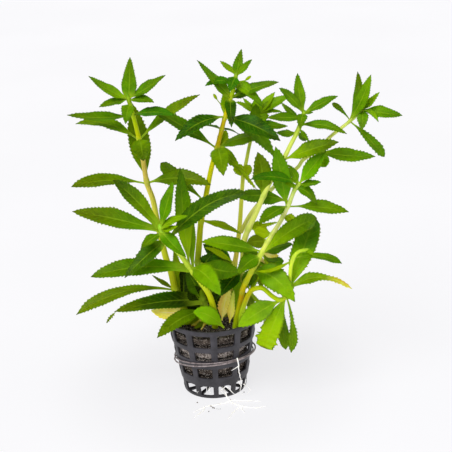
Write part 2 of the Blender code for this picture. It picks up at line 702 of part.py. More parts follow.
def make_roots():
    side = root_tube("root_side", [seen_at(*place) for place in SIDE_ROOT], ROOT_RADIUS)
    twig = root_tube("twig", [seen_at(*place) for place in SIDE_TWIG], ROOT_RADIUS * 0.7)
    combine(side, [twig], "UNION")

    floor = root_tube("roots_floor", [Vector(place) for place in FLOOR_ROOT], ROOT_RADIUS)
    twigs = [root_tube("twig", [Vector(place) for place in line], ROOT_RADIUS * 0.7) for line in FLOOR_TWIGS]
    combine(floor, twigs, "UNION")


def main():
    clear_scene()
    make_pot()
    make_wool()
    make_band()
    make_roots()
    for stem in STEMS:
        make_stem(stem)
        for item in stem.leaves:
            make_leaf(item, stem)
    for item in FOOT_LEAVES:
        make_leaf(item, TALL)
    for item in PLUG_LEAVES:
        make_leaf(item)


main()
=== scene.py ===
"""Looks of the potted rice paddy herb: a bunch of leafy stems in a net pot with rock wool.

Lengths are in millimetres and become metres as a mesh is made. The origin is the middle of
the pot's base, +Z is up, and the viewer stands on the -Y side and sees the front.
Stems and leaves are placed by the point of a 452 pixel picture where the viewer sees them,
and by their depth along +Y.
"""
import math
import random
from collections import namedtuple

import bmesh
import bpy
import numpy as np
from mathutils import Matrix, Quaternion, Vector, noise

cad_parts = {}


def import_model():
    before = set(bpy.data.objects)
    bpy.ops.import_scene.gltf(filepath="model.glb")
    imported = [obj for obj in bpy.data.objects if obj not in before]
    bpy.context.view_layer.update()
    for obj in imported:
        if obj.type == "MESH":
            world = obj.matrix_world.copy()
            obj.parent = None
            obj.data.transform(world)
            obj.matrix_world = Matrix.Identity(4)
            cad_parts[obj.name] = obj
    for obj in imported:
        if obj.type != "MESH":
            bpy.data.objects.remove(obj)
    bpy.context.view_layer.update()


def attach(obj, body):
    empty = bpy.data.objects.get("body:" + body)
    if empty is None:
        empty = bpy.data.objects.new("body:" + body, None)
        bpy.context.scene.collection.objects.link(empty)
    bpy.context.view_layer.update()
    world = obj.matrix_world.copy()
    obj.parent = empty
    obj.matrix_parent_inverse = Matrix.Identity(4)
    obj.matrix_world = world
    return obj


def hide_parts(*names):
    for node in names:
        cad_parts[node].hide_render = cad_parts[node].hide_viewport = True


MM = 0.001

# The viewer, who is the camera
VIEW_TARGET = Vector((9.8, 0.0, 93.1))
VIEW_DISTANCE = 600.0
VIEW_ELEVATION = math.radians(21.2)
VIEW_ROLL = math.radians(2.6)
FOCAL_PX = 1139.0
PICTURE_PX = 452.0
CENTRE_PX = PICTURE_PX / 2
SENSOR = 36.0
NEAREST_SEEN = 0.01              # metres
FORWARD = Vector((0.0, math.cos(VIEW_ELEVATION), -math.sin(VIEW_ELEVATION)))
LEVEL_UP = Vector((0.0, math.sin(VIEW_ELEVATION), math.cos(VIEW_ELEVATION)))
RIGHT = Quaternion(FORWARD, VIEW_ROLL) @ Vector((1.0, 0.0, 0.0))
UP = Quaternion(FORWARD, VIEW_ROLL) @ LEVEL_UP
EYE = VIEW_TARGET - FORWARD * VIEW_DISTANCE
SKY = Vector((0.0, 0.0, 1.0))

# Light of the studio: from all round, from two soft lamps, and from the floor itself
SKY_LIGHT = 0.25
# Where each lamp's light comes from, its strength, and the angle in degrees that it spreads over
LAMPS = {"key": ((-0.5, -0.75, 1.0), 2.5, 45.0), "side": ((0.9, -0.3, 0.5), 0.7, 40.0)}
FLOOR_GLOW = 0.82
FLOOR_SHADOW_SHARE = 0.93               # share of the glow that is left close to the pot, as a painted shadow
FLOOR_SHADOW_RADII = (0.045, 0.105)     # radii in metres over which the painted shadow fades and the glow comes back
FLOOR_HALF = 3.0                 # metres
FLOOR_DROP = 0.0001              # metres that the floor lies below the pot

# Net pot
POT_HEIGHT = 43.4
POT_TOP_RADIUS = 25.0
POT_BASE_RADIUS = 17.2
POT_WALL = 1.2
POT_BARS = 11
BAR_SPACING = math.tau / POT_BARS
BAR_SHARE = 0.27                 # part of a bar's spacing that the bar itself takes
BAR_TURN = math.radians(-90.0 + 1.5)
HUB_RADIUS = 5.5
HUB_RIM = 1.5
HUB_MIDDLE = (1.5, 0.01)         # radii of the hub disc's innermost rings of points
BASE_WINDOW_AT = 0.65            # share of the base's radius where a base window's width is taken
# Lower and upper edge of each row of windows
POT_WINDOWS = ((1.6, 7.6), (13.0, 19.2), (24.3, 29.8), (32.8, 40.5))
POT_BEVEL = 0.22
POT_CORNER = 0.7
POT_LIP = 0.4
POT_WELD = 0.02
# Points along each side of a window, closer together towards its corners
SIDE_SHARES = (-1.0, -0.94, -0.84, -0.62, -0.3, 0.0, 0.3, 0.62, 0.84, 0.94)

# Rock wool plug
WOOL_BOTTOM = 9.5
WOOL_TOP = 38.0
WOOL_GAP = 0.3
WOOL_PINCH = 0.9
WOOL_LUMP, LUMP_SCALE = 0.9, 0.16
WOOL_FUZZ, FUZZ_SCALE = 0.32, 0.9
FUZZ_FLATNESS = 1.8              # how much shorter the surface's fibres are in height
WOOL_HOLLOW = 0.75               # how far the plug's side stays inside the pot where it is level
# How far the plug's top is painted darker, as painted shade
WOOL_TOP_SHADE = 0.5
PALE_HEIGHT = 26.5
PALE_REACH = 5.0
WOOL_SIDES = 200
WOOL_ROWS = 56
WOOL_RINGS = 26
BOTTOM_SHARES = (0.0, 0.4, 0.8)  # rings of the plug's bottom, as shares of its radius
PALE_GRAINS = 2200
GRAINS = 5200
GRAINS_ON_TOP = 0.3
GRAIN_SIZE = (0.10, 0.26)
GRAIN_WAYS = ((1, 0, 0), (-1, 0, 0), (0, 1, 0), (0, -1, 0), (0, 0, 1), (0, 0, -1))
GRAIN_FACES = ((0, 2, 4), (2, 1, 4), (1, 3, 4), (3, 0, 4), (2, 0, 5), (1, 2, 5), (3, 1, 5), (0, 3, 5))
FIBRES = 900
FIBRES_ON_TOP = 0.35
FIBRE_LENGTH = (1.0, 3.0)
FIBRE_RADIUS = 0.055
FIBRE_RISE = (-0.15, 0.12)       # of its ends and of its middle above the skin

# Rubber band, wound twice round the pot in one closed loop
BAND_RADIUS = 0.4
BAND_UNEVEN = 0.06
BAND_HEIGHT = 19.5
BAND_FRONT_RISE = 4.0
BAND_RIGHT_RISE = 1.5
BAND_SPREAD = 1.2
BAND_CROSSING = math.radians(-56.0)
BAND_PASS = 1.2
BAND_STEPS = 360
BAND_SIDES = 10

# Stems and buds
STEM_SIDES = 18
STEM_STEP = 0.9
STEM_SEARCH = 4.0                # step of the coarser line on which a leaf's place is looked for
STEM_TIP = 1.5
TIP_STEP = 0.35                  # share of the tip's length in each of its steps
TIP_WIDTHS = (0.8, 0.6, 0.3)
NODE_SWELL = 0.20
NODE_REACH = 1.3
FOOT_DEPTH = 7.0
BUD_SIDES = 12
BUD_RADII = (0.3, 0.22, 0.22, 0.6, 0.8, 0.65, 0.2)
BUD_SHARES = (0.0, 0.25, 0.5, 0.8, 1.0)      # from the stalk's end to the bud's tip

# Leaf blades
LEAF_FOLD = 0.24
LEAF_THICKNESS = 0.26
LEAF_START, YOUNG_START = 0.6, 0.2           # shares of the stem's radius at which blades start
LEAF_LIFT = 4.0                  # turns the height of a leaf's middle into the pull of its curve
MIDRIB_HEIGHT = 0.34
MIDRIB_WIDTH = 0.42
MIDRIB_GROOVE = 0.12
GROOVE_WIDTH = 0.3
VEIN_COUNT = 12.0
VEIN_SWEEP = 1.6
VEIN_HEIGHT = 0.045
RIPPLE = (0.05, 0.10)
RIPPLE_WAVES = (1.8, 4.1)        # long and short waves along a blade
TOOTH_LENGTH = 1.9
TOOTH_HEIGHT = 1.05
TOOTH_UNEVEN = (0.75, 1.25)
TOOTH_SINK = 0.4                 # share of a tooth's height that is cut in and not added
TEETH_START = (0.20, 0.34)
TEETH_END = (0.90, 1.0)
YOUNG_TOOTH = 0.66               # share of those that a young leaf's teeth have
TOOTH_STEPS = ((0.0, 0.0), (0.45, 0.55), (0.82, 1.0))    # place within a tooth, and how far out
LAST_ROW = 0.997                 # place of the last row of points, just short of the tip
NARROWEST = 0.02
TEAR_DEPTH, TEAR_START = 0.34, (0.58, 0.8)
CRUMPLE, CRUMPLE_START = 0.16, (0.55, 1.0)
CRUMPLE_WAVES = 60.0
ACROSS = np.array((-1.0, -0.84, -0.58, -0.32, -0.13, -0.05, 0.0, 0.05, 0.13, 0.32, 0.58, 0.84, 1.0))
ASIDE = np.abs(ACROSS)
HUE_UNEVEN = 0.08
LIGHT_UNEVEN = 0.15
# The last value is dead tissue on a leaf, and painted shade on the plug
POINT_VALUES = ("along", "across", "hue", "light", "dry")

# Each form runs through pairs of a share of the leaf's length and the share of its width there
FORMS = {
    "lance": (0, 0.13, 0.1, 0.2, 0.22, 0.58, 0.35, 0.9, 0.48, 1, 0.64, 0.91, 0.8, 0.62, 0.92, 0.29, 1, 0),
    "taper": (0, 0.12, 0.12, 0.16, 0.22, 0.34, 0.35, 0.66, 0.48, 0.93, 0.6, 1, 0.74, 0.87, 0.87, 0.55, 0.95,
              0.28, 1, 0),
    "necked": (0, 0.11, 0.14, 0.13, 0.27, 0.38, 0.4, 0.84, 0.52, 1, 0.68, 0.9, 0.83, 0.58, 0.93, 0.28, 1, 0),
    "slim": (0, 0.13, 0.1, 0.25, 0.25, 0.85, 0.4, 1, 0.6, 0.66, 0.84, 0.36, 1, 0),
    "torn": (0, 0.11, 0.1, 0.2, 0.27, 0.5, 0.45, 0.74, 0.62, 0.84, 0.78, 0.97, 0.9, 1, 0.97, 0.78, 1, 0.3),
    "broad": (0, 0.5, 0.15, 0.58, 0.3, 0.76, 0.46, 0.96, 0.6, 1, 0.74, 0.87, 0.87, 0.55, 0.95, 0.28, 1, 0),
    "strip": (0, 0.13, 0.1, 0.25, 0.25, 0.85, 0.4, 1, 0.6, 0.84, 0.75, 0.7, 0.9, 0.46, 1, 0),
    "strap": (0, 0.45, 0.1, 0.8, 0.22, 1, 0.34, 0.85, 0.45, 0.48, 0.58, 0.32, 0.8, 0.26, 1, 0),
    "young": (0, 0.16, 0.12, 0.36, 0.28, 0.8, 0.42, 1, 0.58, 0.92, 0.78, 0.58, 0.92, 0.26, 1, 0),
    "sessile": (0, 0.3, 0.1, 0.72, 0.22, 0.97, 0.36, 1, 0.56, 0.78, 0.78, 0.44, 0.92, 0.2, 1, 0),
    "sword": (0, 0.28, 0.12, 0.4, 0.25, 0.6, 0.4, 0.87, 0.53, 1, 0.68, 0.84, 0.82, 0.57, 0.92, 0.3, 1, 0),
    "outer": (0, 0.14, 0.2, 0.3, 0.4, 0.62, 0.56, 0.88, 0.7, 1, 0.8, 0.88, 0.9, 0.58, 1, 0),
    "stout": (0, 0.7, 0.12, 0.88, 0.3, 1, 0.5, 0.92, 0.7, 0.7, 0.87, 0.4, 1, 0),
    "obovate": (0, 0.12, 0.12, 0.26, 0.26, 0.58, 0.42, 0.88, 0.58, 1, 0.74, 0.98, 0.88, 0.78, 0.96, 0.46, 1,
                0),
    "paddle": (0, 0.18, 0.2, 0.26, 0.45, 0.36, 0.6, 0.76, 0.76, 1, 0.88, 0.72, 1, 0),
    "tail": (0, 0.22, 0.12, 0.58, 0.25, 0.94, 0.36, 1, 0.5, 0.7, 0.64, 0.46, 0.8, 0.38, 0.93, 0.24, 1, 0),
    "round": (0, 0.3, 0.2, 0.66, 0.5, 1, 0.76, 0.96, 0.92, 0.62, 1, 0),
    "blunt": (0, 0.12, 0.14, 0.2, 0.34, 0.52, 0.56, 0.88, 0.76, 1, 0.9, 0.78, 0.96, 0.5, 1, 0),
    "full": (0, 0.13, 0.1, 0.22, 0.22, 0.56, 0.38, 0.88, 0.56, 1, 0.72, 0.94, 0.86, 0.68, 0.95, 0.32, 1, 0),
}
# Each look has pairs for the leaf's base and tip: hue is 0 for green and 1 for olive, light is
# -1 for dark and 1 for bright, and dryness, which is 0 if not given, is 1 for dead tissue.
# Light also carries painted light and shade: a leaf that sits in shade among the others is
# painted darker, and the near-black looks are painted shadow.
LOOKS = {
    "green": (0.2, 0.1, 0.2, -0.1), "mid": (-0.1, 0.35, -0.05, -0.25), "cool": (-0.4, -0.2, 0.25, 0),
    "bright": (0.25, 0.15, 0.6, 0.45), "lime": (0.4, 0.35, 1, 0.9), "lime_tip": (0.25, 0.3, 0.2, 1),
    "flare": (0.25, 0.55, 0.2, 2.2), "bright_tip": (0.1, 0.2, -0.1, 0.5),
    "bright_dark": (0.45, 0.25, 0.6, -0.7), "glow_dark": (0.45, -0.1, 1.3, -0.7),
    "fresh": (-0.1, -0.3, 1.4, 0.8), "dark": (0.05, 0.15, -0.2, -0.5), "deep": (0, 0.1, 0.05, 0.35),
    "emerald": (-0.8, -0.8, -0.1, -0.4), "shade": (-1, -0.9, -0.6, -0.7),
    "shade_tip": (-0.5, 0.2, -0.6, -0.9), "gloom": (-0.8, 1, -1.6, -0.5), "olive": (0.65, 0.9, 0, -0.2),
    "olive_dark": (0.35, 0.85, -0.2, -0.5), "olive_green": (0.3, 0.45, 0.1, -0.1),
    "olive_tip": (0.05, 1, 0.15, -0.35), "green_tip": (-0.1, 0.6, 0.1, -0.3),
    "dark_tip": (0.4, 0.5, 0.4, -0.6), "brown": (1, 1, 0, -0.3), "faded": (0.9, 0.9, 0.9, 0.8),
    "faded_tip": (0.6, 1, 0.1, 1), "shoot": (0.15, 0.15, 0.5, -0.1), "night": (-1, -1, -2.4, -2.4),
    "vivid": (0.15, 0.15, 1.3, 1), "even": (-0.1, 0.35, 0.15, -0.35), "rise": (0.3, 0.5, 0.5, 0),
    "glow_olive": (0.2, 0.9, 1, -0.3), "husk": (1, 1, 1, 1.6), "umber": (1, 1, -0.2, -0.4),
    "blaze": (0.7, 0.7, 1.8, 1.6), "cool_bright": (-0.4, -0.2, 0.9, 0.3), "tan": (1, 1, 0, 0, 1, 1),
    "straw": (1, 0.9, 1.2, 1, 0.9, 0.8), "wither": (1, 0.6, 1, 1.3, 0.7, 0),
    "dry_tip": (0.5, 0.9, -0.05, 0.5, -0.9, 0.8),
}
DEAD_LOOKS = ("tan", "straw", "wither")

# x, y and tip_x, tip_y are the pixels where the viewer sees the ends; reach is how far the tip
# lies behind the base. lean turns the blade from full face at 0 to edge on at 90, towards the
# sky, or towards the ground if negative. arch lifts the middle and bow takes it to the right.
# A leaf that rises from the plug and not from a stem gives the depth of its base.
Leaf = namedtuple("Leaf", "name base_px tip_px reach width lean arch look form bow depth")
# route holds (x_px, y_px, depth) from the foot up; radii are those at the foot and at the tip.
# skin holds (share of the height, red, green, blue). buds holds each flower bud as where the
# viewer sees its stalk start, its stalk end and its tip, and its reach.
Stem = namedtuple("Stem", "name route radii foot skin young leaves buds")


def leaf(name, x, y, tip_x, tip_y, reach, width, lean, arch=0, look="green", form="lance", bow=0,
         depth=None):
    """A large leaf, which is a piece of its own."""
    return Leaf("leaf_" + name, (x, y), (tip_x, tip_y), reach, width, lean, arch, look, form, bow, depth)


def small(x, y, tip_x, tip_y, reach, width, lean, arch=0, look="shoot", form="young", bow=0):
    """A small leaf or stalk that belongs to its stem's piece."""
    return Leaf("", (x, y), (tip_x, tip_y), reach, width, lean, arch, look, form, bow, None)


def grown(name, route, radii, foot, skin, young, leaves, buds=()):
    """A stem, with a row of values for each of its leaves."""
    young = [small(*row) for row in young]
    return Stem(name, route, radii, foot, skin, young, [leaf(*row) for row in leaves], buds)


LEFT = grown(
    "stem_left",
    route=((191, 322, 0), (182, 306, 1), (176, 293, 2), (171, 272, 3), (166, 258, 3), (158, 225, 3),
           (153, 200, 3), (147, 183, 2), (143, 160, 1), (139, 139, 0), (133, 115, 0), (128, 97, 0)),
    radii=(2, 1), foot=True,
    skin=((0, 150, 165, 5), (0.28, 205, 215, 25), (0.55, 225, 220, 80), (0.64, 220, 200, 90),
          (0.74, 215, 190, 85), (0.8, 205, 200, 5), (0.9, 205, 235, 0), (1, 95, 145, 5)),
    young=(
        (128, 99, 130, 57, 4, 7.4, 10, 0, "mid", "sessile"),
        (128, 98, 88.5, 76, -6, 7.2, 48, -1.7),
        (128, 98, 165.5, 75, -4, 7.6, 52, -0.7, "mid"),
        (128, 99, 99, 107, -8, 6, 50, 0.3, "mid"),
        (130, 100, 154, 102.5, -8, 6, 50, 1, "mid"),
        (129, 105, 125.5, 124, -13, 6.2, 5, 2),
        (133, 115, 174, 115.5, -13, 7.4, 50, 1.6, "emerald"),
        (173, 290, 152, 275, 6, 3.4, 50, -0.5, "brown"),
        (180, 300, 174, 246, 8, 6, 40, 0, "faded"),
        # These two near-black leaves are painted shadow in the dark behind the stems
        (182, 308, 184, 266, 7, 9, 0, 0, "night"),
        (182, 306, 205, 307, 2, 9, 0, 0, "night", "round"),
    ),
    leaves=(
        ("left_1", 173, 290, 76, 315, -10, 8.4, 40, 6.3, "olive", "outer"),
        ("left_2", 147, 183, 71, 187, -12, 9.5, 48, 2.6, "olive_dark", "taper"),
        ("left_3", 147, 183, 211, 185, -12, 9.5, 36, 3.2, "olive_dark"),
        ("left_4", 146, 181, 132, 103, 12, 10.5, 5, 0, "olive"),
        ("left_5", 139, 139, 75.5, 124, 10, 7.8, 48, 4.2, "rise"),
        ("left_6", 139, 139, 200, 94.5, 12, 7.6, 50, 2.2, "glow_olive"),
        ("left_7", 139, 139, 143.5, 161, -20, 9, 0, 2.6, "dark_tip", "taper"),
        ("left_8", 133, 115, 67, 115, -8, 8, 56, -1.3, "green_tip"),
    ))

SHORT = grown(
    "stem_short",
    route=((215, 327, -8), (214, 317, -9), (213, 306, -10), (207, 291, -12), (190, 268, -15),
           (178, 252, -17), (164, 241, -18), (160, 227, -18)),
    radii=(1.7, 1.2), foot=True,
    skin=((0, 160, 180, 10), (0.3, 210, 220, 20), (0.45, 215, 235, 60), (0.7, 215, 240, 80),
          (1, 150, 215, 50)),
    young=(
        (160, 227, 173.5, 181, -4, 6.8, 30, 0, "cool"),
        (161, 231, 186, 257, -14, 7.8, 30, -0.8, "cool", "sessile"),
        (160, 228, 188, 216, -8, 5.2, 40, 1, "bright", "sessile"),
        (161, 233, 141, 248, -10, 6.2, 40, 0.4, "mid"),
        (193, 272, 184, 184, 14, 6.4, 35, 1),
        (161, 229, 178, 226, -7, 3.6, 40, -0.8, "lime"),
    ),
    leaves=(
        ("short_1", 190, 268, 90.5, 277, -9, 10.2, 32, 3.2, "even", "broad"),
        ("short_2", 190, 268, 221, 296, -30, 10, 5, 4, "bright"),
        ("short_3", 188, 265, 180, 167, 4, 9.2, 25, 0, "glow_dark", "lance", -0.6),
        ("short_4", 164, 241, 124.5, 278, -12, 9, 30, 0.9, "shade_tip", "sessile"),
        ("short_5", 166, 242, 247, 193, -6, 9, 15, 6.2, "shade_tip", "strip"),
        ("short_6", 160, 227, 113, 180, -4, 9.2, 35, 1.4, "bright_dark", "broad", 0.5),
        ("short_7", 160, 230, 72, 211.5, -14, 10, 25, 1, "olive_tip", "sword"),
    ))

TALL = grown(
    "stem_tall",
    route=((207, 321, 0), (203, 300, 1), (200, 280, 1), (198, 262, 1), (199, 245, 1), (201, 222, 1),
           (205, 201, 1), (211, 170, 1), (217, 148, 1), (225, 117, 1), (231, 97, 1), (235, 84, 1),
           (236, 75, 1)),
    radii=(2, 0.9), foot=True,
    skin=((0, 95, 130, 5), (0.24, 125, 152, 5), (0.35, 182, 192, 12), (0.66, 215, 212, 8),
          (0.72, 205, 180, 0), (0.82, 205, 180, 0), (0.86, 215, 210, 0), (0.92, 195, 225, 0),
          (1, 95, 145, 5)),
    young=(
        (236, 75, 241.5, 49, 3, 5, 15, 0, "mid", "sessile"),
        (236, 76, 252, 59.5, -2, 4.2, 40, 0, "green"),
        (236, 75, 220, 61, -3, 3.4, -40, 0.8, "lime"),
        (234, 76, 230, 91, -8, 6, 10, 0.6, "emerald"),
        (235, 84, 205, 86, -5, 5, 40, 2.2, "emerald"),
        (235, 84, 263, 108, -7, 7, 35, 2.2, "shoot", "sessile"),
        (231, 97, 197, 60, -6, 6.6, 40, -0.6, "green", "sessile"),
        (231, 97, 279, 82, -6, 6.2, 40, 0.8, "mid"),
        (232, 101, 231.5, 127.5, -15, 5.6, 10, 2.2, "shade", "stout"),
        (225, 117, 226, 88, 4, 4.4, 0, 0, "lime"),
        (218, 147, 226, 130, 6, 5.5, 0, 0, "husk", "young", 0.6),
        (217, 148, 265, 137, 10, 8, -45, 2.4, "rise"),
        (202, 221, 241, 234, 3, 6, -55, 2, "faded"),
        (222, 129, 198, 126, 8, 4, 80, 1, "dark"),
        (222, 129, 240, 135, 10, 3, 80, 1, "dark"),
        (203, 298, 186, 271, -4, 9, 10, 1, "dark"),
        # Near-black leaves painted as the shadow behind the stems above the pot
        (203, 303, 217, 284, -2, 9, 0, 0, "night", "full"),
        (204, 306, 190, 286, -2, 9, 0, 0, "night", "full"),
        (231, 98, 250, 94.5, 3, 2.6, 40, 0, "mid"),
        (234, 92, 248, 90, 5, 4, 0, 0, "dark"),
        (199, 270, 213, 253, -4, 7, 10, 0, "shade"),
        (206, 316, 184, 325, -9, 3.2, 20, 0, "husk", "slim"),
        (209, 320.5, 191, 325.5, -12, 3.2, 10, 0, "straw", "slim"),
        (215, 328, 194, 328.5, -13, 3.4, 10, 0, "brown", "slim"),
        (195, 323, 201, 330, -14, 0.9, 10, 0, "straw", "slim"),
    ),
    leaves=(
        ("tall_1", 199, 262, 241.5, 271.5, -26, 10, 10, -2, "dark"),
        ("tall_2", 205, 201, 160.5, 163, 7, 8, -35, 1, "olive_green", "blunt"),
        ("tall_3", 217, 148, 147, 107, -3, 8.6, 45, 1, "mid"),
        ("tall_4", 218, 148, 223.5, 176, -24, 9, 0, 3.2, "olive_green"),
        ("tall_5", 218, 147, 257, 190, -5, 6.9, 40, 0.2, "faded_tip", "strap", 0.3),
        ("tall_6", 225, 117, 175, 141, -14, 8.4, 40, 3, "shade"),
        ("tall_7", 225, 117, 280.5, 141, -14, 9.6, 30, 2, "shade"),
        ("tall_8", 225, 118, 276, 158, 8, 9, 30, 5, "deep"),
    ),
    buds=(((235, 84), (245, 80.5), (251, 76), -3), ((222, 112), (217, 99.5), (213.5, 94), -3)))

BACK = grown(
    "stem_back",
    route=((226, 316, 7), (231, 290, 9), (234, 268, 11), (237, 250, 12), (240, 222, 14), (243, 178, 15),
           (246, 163, 15), (250, 143, 15), (257, 115, 15)),
    radii=(1.6, 0.8), foot=True,
    skin=((0, 150, 130, 50), (0.25, 200, 180, 80), (0.45, 215, 215, 70), (0.75, 215, 225, 90),
          (1, 130, 175, 20)),
    young=(
        (257, 114, 275, 92, 5, 5.6, 40, 0, "vivid"),
        (257, 114, 235.5, 102, -3, 3.2, 40, 1, "lime"),
        (257, 114, 243, 98, 3, 3.4, 40, 0, "lime"),
        (257, 114, 290, 96, 2, 6.4, 40, 1, "bright"),
        (257, 114, 282, 112, -3, 4.6, 60, 1, "bright"),
        (257, 114, 258, 96, 4, 6, 0, 0, "vivid"),
        (258, 123, 256, 104, -4, 6, 0, 0, "shoot", "stout"),
        (256, 119, 288, 126, -6, 4.6, 35, -1.6, "mid"),
        (245, 176, 236, 165, 3, 5.2, 0, 0, "husk", "round"),
        (244, 177, 250, 165, -3, 4.6, 0, 0, "husk", "round"),
        (236, 264, 204, 247, 4, 4, 40, 1, "faded"),
        # A near-black leaf painted as the shadow behind the stems above the pot
        (227, 314, 209, 290, 2, 10, 0, 0, "night", "full"),
        (232, 294, 217, 268, 4, 10, 0, 0, "shade", "full"),
        (221, 264, 203, 244, 9, 9, 0, 0, "shade"),
        (257, 120, 269, 115, -6, 5, 0, 0, "bright", "stout"),
    ),
    leaves=())

CENTRE = grown(
    "stem_centre_right",
    route=((237, 314, 2), (240, 285, 0), (243, 260, -3), (245, 238, -5), (255, 215, -7), (270, 182, -8),
           (284, 158, -8), (290, 146, -7), (299, 128, -6), (304, 113, -6)),
    radii=(1.9, 1), foot=True,
    skin=((0, 165, 165, 60), (0.3, 200, 205, 80), (0.45, 230, 238, 115), (0.85, 228, 242, 110),
          (0.95, 195, 230, 50), (1, 105, 155, 15)),
    young=(
        (304, 113, 297.5, 73, 3, 5.4, 15, 0, "green", "young", -0.7),
        (304, 113, 279, 88, -4, 5.6, 35, 1, "green"),
        (304, 113, 338, 96, -4, 6.4, 45, 0.3, "green"),
        (304, 113, 313, 112.5, -3, 1.4, 30),
        (302, 118, 267, 118, -7, 5.8, 40, 0.2, "mid"),
        (301, 121, 281, 102.5, 4, 3.8, -40, 0, "mid"),
        (304, 114, 300, 129, -12, 5.2, 10, 1.6, "mid"),
        (300, 125, 347, 134, -8, 5.8, 42, 2.2, "mid"),
        (299, 128, 309, 142, -6, 2.2, 30),
        (297, 133, 276, 133, 5, 4.6, -40, 0, "green"),
        (297, 132, 306, 141, 6, 3, 10, 0, "dark"),
        (249, 228, 268, 231, 3, 6.4, 20, 1, "husk"),
        (249, 229, 278, 222, 6, 2, -20, 0, "faded"),
        (242, 270, 219, 297, -12, 8, 20, 1, "shade"),
    ),
    leaves=(
        ("centre_1", 265, 196, 257.5, 152, -4, 9.5, 10, 0, "olive", "lance", 1.2),
        ("centre_2", 284, 159, 339, 142, -10, 8.8, 35, 0.8, "dark_tip"),
    ))

LONG = grown(
    "stem_long_right",
    route=((241, 232, 10), (250, 215, 6), (262, 200, 2.5), (275, 186, 1), (297, 168, -1), (303, 160, -1),
           (316, 151, -2), (330, 137, -2), (340, 129, -2), (350, 121, -2), (362, 110, -2)),
    radii=(1.2, 0.8), foot=False,
    skin=((0, 205, 205, 80), (0.3, 232, 240, 135), (0.85, 228, 240, 115), (1, 120, 170, 30)),
    young=(
        (362, 110, 402.5, 115.5, -4, 7.5, 40),
        (362, 110, 379.5, 92, -2, 4.2, 40, -0.5, "vivid"),
        (362, 110, 378.5, 122, -8, 5, 60, 2, "bright"),
        (361.5, 110, 361.5, 130.5, -8, 5.6, 10, 1, "mid", "young", 0.6),
        (354, 118, 357.5, 71.5, 5, 5.6, 30, 0, "green_tip", "young", 1.8),
        (350, 121, 371, 74.5, -5, 6.6, 20, 0, "deep", "young", 1),
        (350, 121, 332, 103.5, 4, 3.2, -40, 1.6, "green_tip", "blunt"),
        (322, 155, 326, 167, -8, 6.4, 0, 0, "vivid", "round"),
    ),
    leaves=(
        ("long_1", 318, 152, 375.5, 156.5, -7, 8.6, 42, -1),
        ("long_2", 350, 121, 384.5, 157, -8, 5.6, 35, 1, "green", "blunt"),
    ))

FRONT = grown(
    "stem_front_right",
    route=((236, 323, -9), (238, 312, -10), (241, 299, -12), (244, 286, -14), (255, 265, -15),
           (262, 252, -15), (270, 238, -14), (280, 222, -13), (288, 206, -12), (295, 189, -12),
           (299, 184, -12)),
    radii=(1.6, 1), foot=True,
    skin=((0, 150, 180, 20), (0.14, 190, 190, 10), (0.22, 215, 175, 10), (0.34, 225, 225, 10),
          (0.5, 235, 245, 90), (0.8, 250, 255, 165), (1, 200, 240, 80)),
    young=(
        (299, 184, 321, 182, -4, 5.6, 52, -0.4, "green"),
        (299, 184, 289, 165, -2, 4.5, 30),
        (299, 184, 250.5, 179.5, -20, 6.5, 42, 2.5, "emerald"),
        (297, 186, 285, 184, -5, 3, 30, 0, "vivid"),
        (297, 190, 317, 205, -4, 6, 30, 3, "mid"),
        (262, 252, 293, 244, 8, 6.8, -40, 0.6, "dark"),
        (269, 242, 247, 243, 8, 7.4, -20, 0.6, "umber"),
        (268, 242, 280, 237, 8, 7, -20, 0, "olive_green"),
        (283, 216, 297, 221, -4, 5, 30, 0, "faded"),
        (248, 282, 271, 307, 1, 2.8, 50, -3.2, "faded", "young", -1.8),
        (261, 258, 250, 292, 5, 4.4, 20, 0, "blaze", "young", 0.8),
        (260, 257, 237.5, 274, -16, 8.4, 15, 1.6, "mid"),
        (262, 253, 273, 276, 4, 1.6, 30, 0, "faded"),
        (263, 256, 265, 274, 5, 2.4, 0, 0, "tan"),
        (265, 255, 279, 256, 5, 3, 0, 0, "tan"),
        (272, 234, 254, 231, 5, 6.4, -20, 0, "husk", "full"),
        (258, 262, 262, 289, 4, 4.6, 0, 0, "olive"),
        (253, 266, 243, 290, 6, 6.6, 0, 0, "dark"),
        (244, 292, 254, 308, 4, 6, 0, 0, "umber"),
        (262, 252, 277, 261, 6, 5, 0, 0, "green"),
        (261, 254, 243, 256, 9, 6.4, 0, 0, "green", "full"),
        (289, 281, 284, 261, 8, 5.6, 0, 0, "green", "full"),
    ),
    leaves=(
        ("front_1", 251, 271, 295, 302, -14, 12, 5, 5.4, "bright_tip"),
        ("front_2", 262, 252, 201, 242, -11, 9, 35, 1, "bright_tip"),
        ("front_3", 262, 252, 317, 218, -8, 9.6, 25, 2.2, "bright_dark", "obovate"),
        ("front_4", 288, 206, 349, 212, -4, 8.2, 40, 1.1, "olive_green", "necked"),
        ("front_5", 288, 206, 259, 224, -19, 7.2, 35, 1.3, "mid"),
        ("front_6", 288, 206, 275.5, 146.5, -5, 9.5, 15, 0, "cool_bright"),
        ("front_7", 289, 202, 236, 197, 18, 9.4, -40, 2.2, "dark"),
        ("front_8", 299, 184, 326, 150, -4, 7.5, 20, 0, "cool_bright"),
    ))

